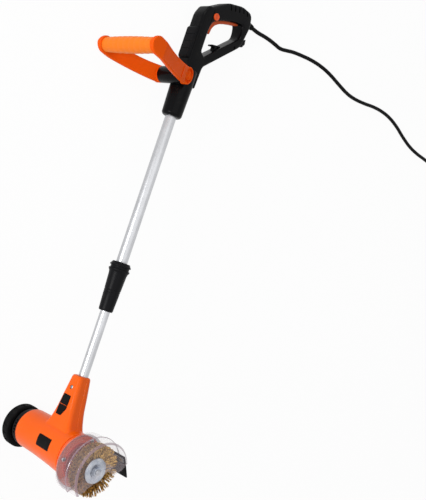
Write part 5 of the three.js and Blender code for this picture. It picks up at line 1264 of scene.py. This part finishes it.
def front_pad(grow=0.0):
    corners = [(y + grow * y_way, z + grow * z_way) for (y, z), (y_way, z_way) in PAD]
    return plate(corners, -PAD_HALF - grow, PAD_HALF + grow, PAD_REACH, PAD_SOFT)


GRIP_TOP = [(2, 912.5), (40, 940), (80, 953.1), (118, 952.2)]
GROOVES = 5
GROOVE_START = 37
GROOVE_PITCH = 12.2
GROOVE_HALF = 1.5
GROOVE_LEAN = 0.38


def grip_grooves():
    """Slanted grooves over the top of the grip and a little way down its sides."""
    grooves = []
    for i in range(GROOVES):
        y = GROOVE_START + (i + 0.5) * GROOVE_PITCH
        (y0, z0), (y1, z1) = next(pair for pair in zip(GRIP_TOP, GRIP_TOP[1:]) if y < pair[1][0])
        top = z0 + (z1 - z0) * (y - y0) / (y1 - y0)
        outside = box((-30, -GROOVE_HALF, -14), (30, GROOVE_HALF, 20))
        groove = carved(outside, box((-14.4, -5, -30), (14.4, 5, -2)))
        groove.transform(Matrix.Translation((0, y, top)) @ Matrix.Rotation(GROOVE_LEAN, 4, "X"))
        grooves.append(groove)
    return gathered(grooves)


def handle_cuts():
    cuts = [rod(radius, *span, axis, at, 0, steps) for radius, *span, axis, at, steps in HANDLE_BORES]
    cuts += [trigger_room(turn) for turn in TRIGGER_TURNS]
    cuts += [plate(HOLLOW, -14.4, 14.4), box(*SWITCH_ROOM), plate(COVER, -20, 20)]
    cuts += [front_pad(PAD_GAP), grip_grooves()]
    for side in (-1, 1):
        cuts.append(plate(SIDE_CHANNEL, *across(side, 15, 20), reach=2.5))
        low, high = across(side, 16.2, 20)
        cuts.append(box((low, 5, 862), (high, 6.2, 916)))
    cuts += [rod(3.9, -19, SCREW_SEAT, "X", place, 0, 32) for place in HANDLE_SCREWS]
    return joined(*cuts)


def make_handle():
    whole = carved(handle_body(), handle_cuts())
    in_halves(whole, HANDLE_SIDES, "_handle_moulding", "handle", "black_handle", "_handle_shell")
    for i, (y, z) in enumerate(HANDLE_SCREWS):
        turn = Matrix.Translation((SCREW_SEAT, y, z)) @ Matrix.Rotation(math.pi, 4, "Z")
        screw("handle_screw_%d" % (i + 1), turn, 3.6, "handle", 22)


def make_soft_parts():
    cover = shared(handle_plate(), plate(COVER, -30, 30))
    piece("soft_cover", carved(cover, grip_grooves()), "handle", "soft_black", "soft_grip_cover")
    lines = gathered([box((-30, -24, z - 0.5), (30, -22.2, z + 0.5)) for z in PAD_LINES])
    piece("soft_pad", carved(front_pad(), lines), "handle", "soft_black", "front_grip_pad")


def make_controls():
    trigger = plate(TRIGGER, -5, 5, TRIGGER_REACH, 1.4, steps=4)
    trigger = carved(trigger, rod(PIN_BORE, -7, 7, "X", TRIGGER_PIVOT, 0, 32))
    piece("trigger_moulding", trigger, "trigger", "trigger_orange", "trigger")
    pin = rod(2, -13, 13, "X", TRIGGER_PIVOT, 0.3, 32)
    piece("trigger_pin_turned", pin, "handle", "steel", "trigger_pin")
    button = spun(BUTTON, 0.35, 64, at=LOCK_BUTTON)
    piece("lock_button_moulding", button, "lock_button", "orange_button", "lock_off_button")


# Front handle: two straps run from the pivot to the bar that carries the grip
BAR = (-149, 756)
STRAP_SPANS = 16
STRAP_START = 36.8
STRAP_SPREAD = 36.7
SPREAD_END = 0.86
STRAP_HALF = 5.2
STRAP_HIGH = 17
STRAP_WAIST = 1.5
STRAP_SAG = 16
TIP_LENGTH = 16.6
TIP_SHARES = (0.15, 0.3, 0.45, 0.6, 0.72, 0.84, 0.93, 0.985)
BOSS_HALF = (12, 17)


def strap_ring(x, y, z, half, high):
    return ring((x, y, z), (half, 0, 0), (0, 0, high), 5, 40)


def strap_rings(shift=0.0, half=STRAP_HALF, trim=0.0, spans=range(STRAP_SPANS + 1)):
    rings = []
    for i in spans:
        share = i / STRAP_SPANS
        x = STRAP_START + shift + STRAP_SPREAD * min(1, share / SPREAD_END)
        y, z = (start + (end - start) * share for start, end in zip(PIVOT, BAR))
        z -= STRAP_SAG * share * (1 - share)
        rings.append(strap_ring(x, y, z, half, STRAP_HIGH - STRAP_WAIST * math.sin(math.pi * share) - trim))
    return rings


def strap_tip():
    """The rounded end of a strap, past the bar."""
    rings = []
    for share in TIP_SHARES:
        turn = share * math.pi / 2
        y = BAR[0] - TIP_LENGTH * math.sin(turn)
        high = STRAP_HIGH * math.cos(turn)
        rings.append(strap_ring(STRAP_START + STRAP_SPREAD, y, BAR[1], STRAP_HALF, high))
    return rings


def boss(start, end, trim, soft=0.0):
    """An oval block about the pivot, with softened ends."""
    rings = []
    for x, inward in sorted({(start, soft), (start + soft, 0), (end - soft, 0), (end, soft)}):
        wide, high = (half - trim - inward for half in BOSS_HALF)
        rings.append(ring((x, *PIVOT), (0, wide, 0), (0, 0, high), steps=64))
    return lofted(rings)


def make_front_handle():
    strap = lofted(strap_rings() + strap_tip())
    side = joined(strap, boss(30.3, 43.3, 0, 0.8), rod(11.5, 0, 76, "X", BAR, 0, 64))
    panel = lofted(strap_rings(5.5, 1.5, 3.0, range(3, 15)))
    side = carved(side, boss(39.3, 45, 2.5), rod(PIVOT_BORE, 20, 50, "X", PIVOT, 0, 32), panel)
    other = side.copy()
    other.transform(Matrix.Diagonal((-1, 1, 1, 1)))
    bmesh.ops.reverse_faces(other, faces=other.faces)
    loop = joined(side, other)
    piece("front_handle_moulding", loop, "front_handle", "orange_strap", "front_handle_loop", 30)


GRIP_HALF = 68
GRIP_BORE = 11.8
GRIP_END = 14.2
GRIP_RADIUS = 14.1
GRIP_SWELL = 1.7
GRIP_RINGS = 9
RINGS_HALF = 67.4
RING_DIPS = ((0.08, 0.5), (0.2, 0.2), (0.35, 0.04), (0.5, 0), (0.65, 0.04), (0.8, 0.2), (0.92, 0.5))


def make_grip():
    profile = [(-GRIP_HALF, GRIP_BORE), (-GRIP_HALF, GRIP_END)]
    pitch = 2 * RINGS_HALF / GRIP_RINGS
    for i in range(GRIP_RINGS):
        for share, dip in RING_DIPS:
            x = -RINGS_HALF + (i + share) * pitch
            profile.append((x, GRIP_RADIUS + GRIP_SWELL * (1 - (x / GRIP_HALF) ** 2) - dip))
    profile += [(GRIP_HALF, GRIP_END), (GRIP_HALF, GRIP_BORE)]
    grip = spun(profile, 0, 72, True, at=BAR)
    piece("ringed_grip", grip, "front_handle", "orange_grip", "front_handle_grip")


CAP_HOLLOWS = 3
HOLLOW_RADIUS = 2.2
HOLLOW_FROM_PIVOT = 4.9
HOLLOW_FLOOR = 41.9
HOLLOW_TURN = 0.5


def make_pivot():
    heads = [rod(6.5, *across(side, 39.6, 41.6), "X", PIVOT, 0.4) for side in (-1, 1)]
    bolt = joined(rod(4, -40, 40, "X", PIVOT, 0, 32), *heads)
    piece("pivot_bolt_turned", bolt, "handle", "steel", "pivot_bolt")
    for side, label in ((1, "near"), (-1, "far")):
        hollows = []
        for i in range(CAP_HOLLOWS):
            turned = Matrix.Rotation(math.tau * i / CAP_HOLLOWS + HOLLOW_TURN, 4, "X")
            spot = turned @ Vector((0, HOLLOW_FROM_PIVOT, 0))
            hollow = rod(HOLLOW_RADIUS, 0, 6, steps=32)
            hollow.transform(Matrix.Scale(side, 4))
            hollow.transform(Matrix.Translation((side * HOLLOW_FLOOR, PIVOT[0] + spot.y, PIVOT[1] + spot.z)))
            hollows.append(hollow)
        cap = rod(8.6, *across(side, 39.5, 42.9), "X", PIVOT, 0.7, 64)
        piece(label + "_pivot_cap", carved(cap, *hollows), "handle", "orange_strap")


# Strain relief: ribs get smaller towards the cord, each from (place, dip) points
RELIEF_RIBS = 6
RELIEF_START = 120
RELIEF_PITCH = 2.9
RELIEF_RADIUS = 7
RELIEF_TAPER = 0.2
RELIEF_RIB = [(0, 0), (1.5, 0.05), (1.6, 0.9), (2.7, 0.95)]


def make_relief():
    profile = [(104, 0), (104, 7.5), (118, 7.5), (119.5, 7.1)]
    for i in range(RELIEF_RIBS):
        at = RELIEF_START + i * RELIEF_PITCH
        radius = RELIEF_RADIUS - RELIEF_TAPER * i
        profile += [(at + along, radius - dip) for along, dip in RELIEF_RIB]
    profile += [(137.2, 5.6), (138, 5.2), (138, 4.5), (121, 4.5), (121, 0)]
    relief = spun(profile, 0, 48, axis="Y", at=(0, EXIT_HEIGHT))
    piece("ribbed_relief", relief, "handle", "black_rubber", "cord_strain_relief")


make_housing()
make_head_trim()
make_gear_case()
make_guard()
make_flap()
make_brush()
make_wheel()
make_tubes()
make_handle()
make_soft_parts()
make_controls()
make_front_handle()
make_grip()
make_pivot()
make_relief()

INSIDE = {
    "output_gear": "steel", "idler_gear": "steel", "motor_stator": "steel", "rear_motor_bearing": "steel",
    "front_motor_bearing": "steel", "inner_spindle_bearing": "steel", "outer_spindle_bearing": "steel",
    "motor_armature": "armature", "cooling_fan": "black_collar", "front_carbon_brush": "carbon",
    "rear_carbon_brush": "carbon", "trigger_switch": "black_collar", "coil_tie": "black_plug",
    "lower_lead": "black_rubber", "upper_lead": "black_rubber",
}
for node, slot in INSIDE.items():
    held = frame["nodes"][node]
    held.data.materials.clear()
    held.data.materials.append(FINISH[slot])


# Floor and light, in metres in the part's own frame
FLOOR_SIZE = 4
FLOOR_DROP = 0.0005
FLOOR_GLOW = 0.95
SKY_LIGHT = 0.4
# Lamps: place, size and power
LAMPS = {
    "key": ((-0.7, 2.5, 1.1), 1.1, 40),
    "overhead": ((0.4, 0.3, 2.4), 2.4, 9),
    "left": ((1.9, 1.2, 0.9), 0.9, 8),
}


def make_floor():
    mesh = bmesh.new()
    bmesh.ops.create_grid(mesh, x_segments=1, y_segments=1, size=FLOOR_SIZE)
    bmesh.ops.translate(mesh, verts=mesh.verts, vec=(0, 0, -FLOOR_DROP))
    floor = as_object(mesh, "floor")
    paint = Paint("floor_white", Roughness=0.9, Specular_IOR_Level=0.1)
    speck = paint.noise(paint.place(), 6, 2)
    paint.feed(Base_Color=paint.blend(speck, linear(246, 246, 246), linear(250, 250, 250)))
    share = paint.seen_rays() * FLOOR_GLOW
    plain = Wire(paint, paint.shader.outputs[0])
    glowing = paint.node("ShaderNodeMixShader", {}, {0: share, 1: plain, 2: paint.node("ShaderNodeEmission")})
    paint.join(paint.nodes["Material Output"].inputs["Surface"], glowing)
    floor.data.materials.append(paint.material)


def make_light():
    world = bpy.data.worlds.new("studio")
    scene.world = world
    sky = Tree(world)
    back = sky.nodes["Background"]
    sky.join(back.inputs["Color"], (1, 1, 1, 1))
    sky.join(back.inputs["Strength"], sky.seen_rays() * (1 - SKY_LIGHT) + SKY_LIGHT)
    for name, (place, size, power) in LAMPS.items():
        lamp = bpy.data.lights.new(name, "AREA")
        lamp.size = size
        lamp.energy = power
        lit = bpy.data.objects.new(name, lamp)
        lit.location = place
        lit.rotation_mode = "QUATERNION"
        lit.rotation_quaternion = (-Vector(place)).to_track_quat("-Z", "Y")
        scene.collection.objects.link(lit)


make_floor()
make_light()

bpy.context.view_layer.update()
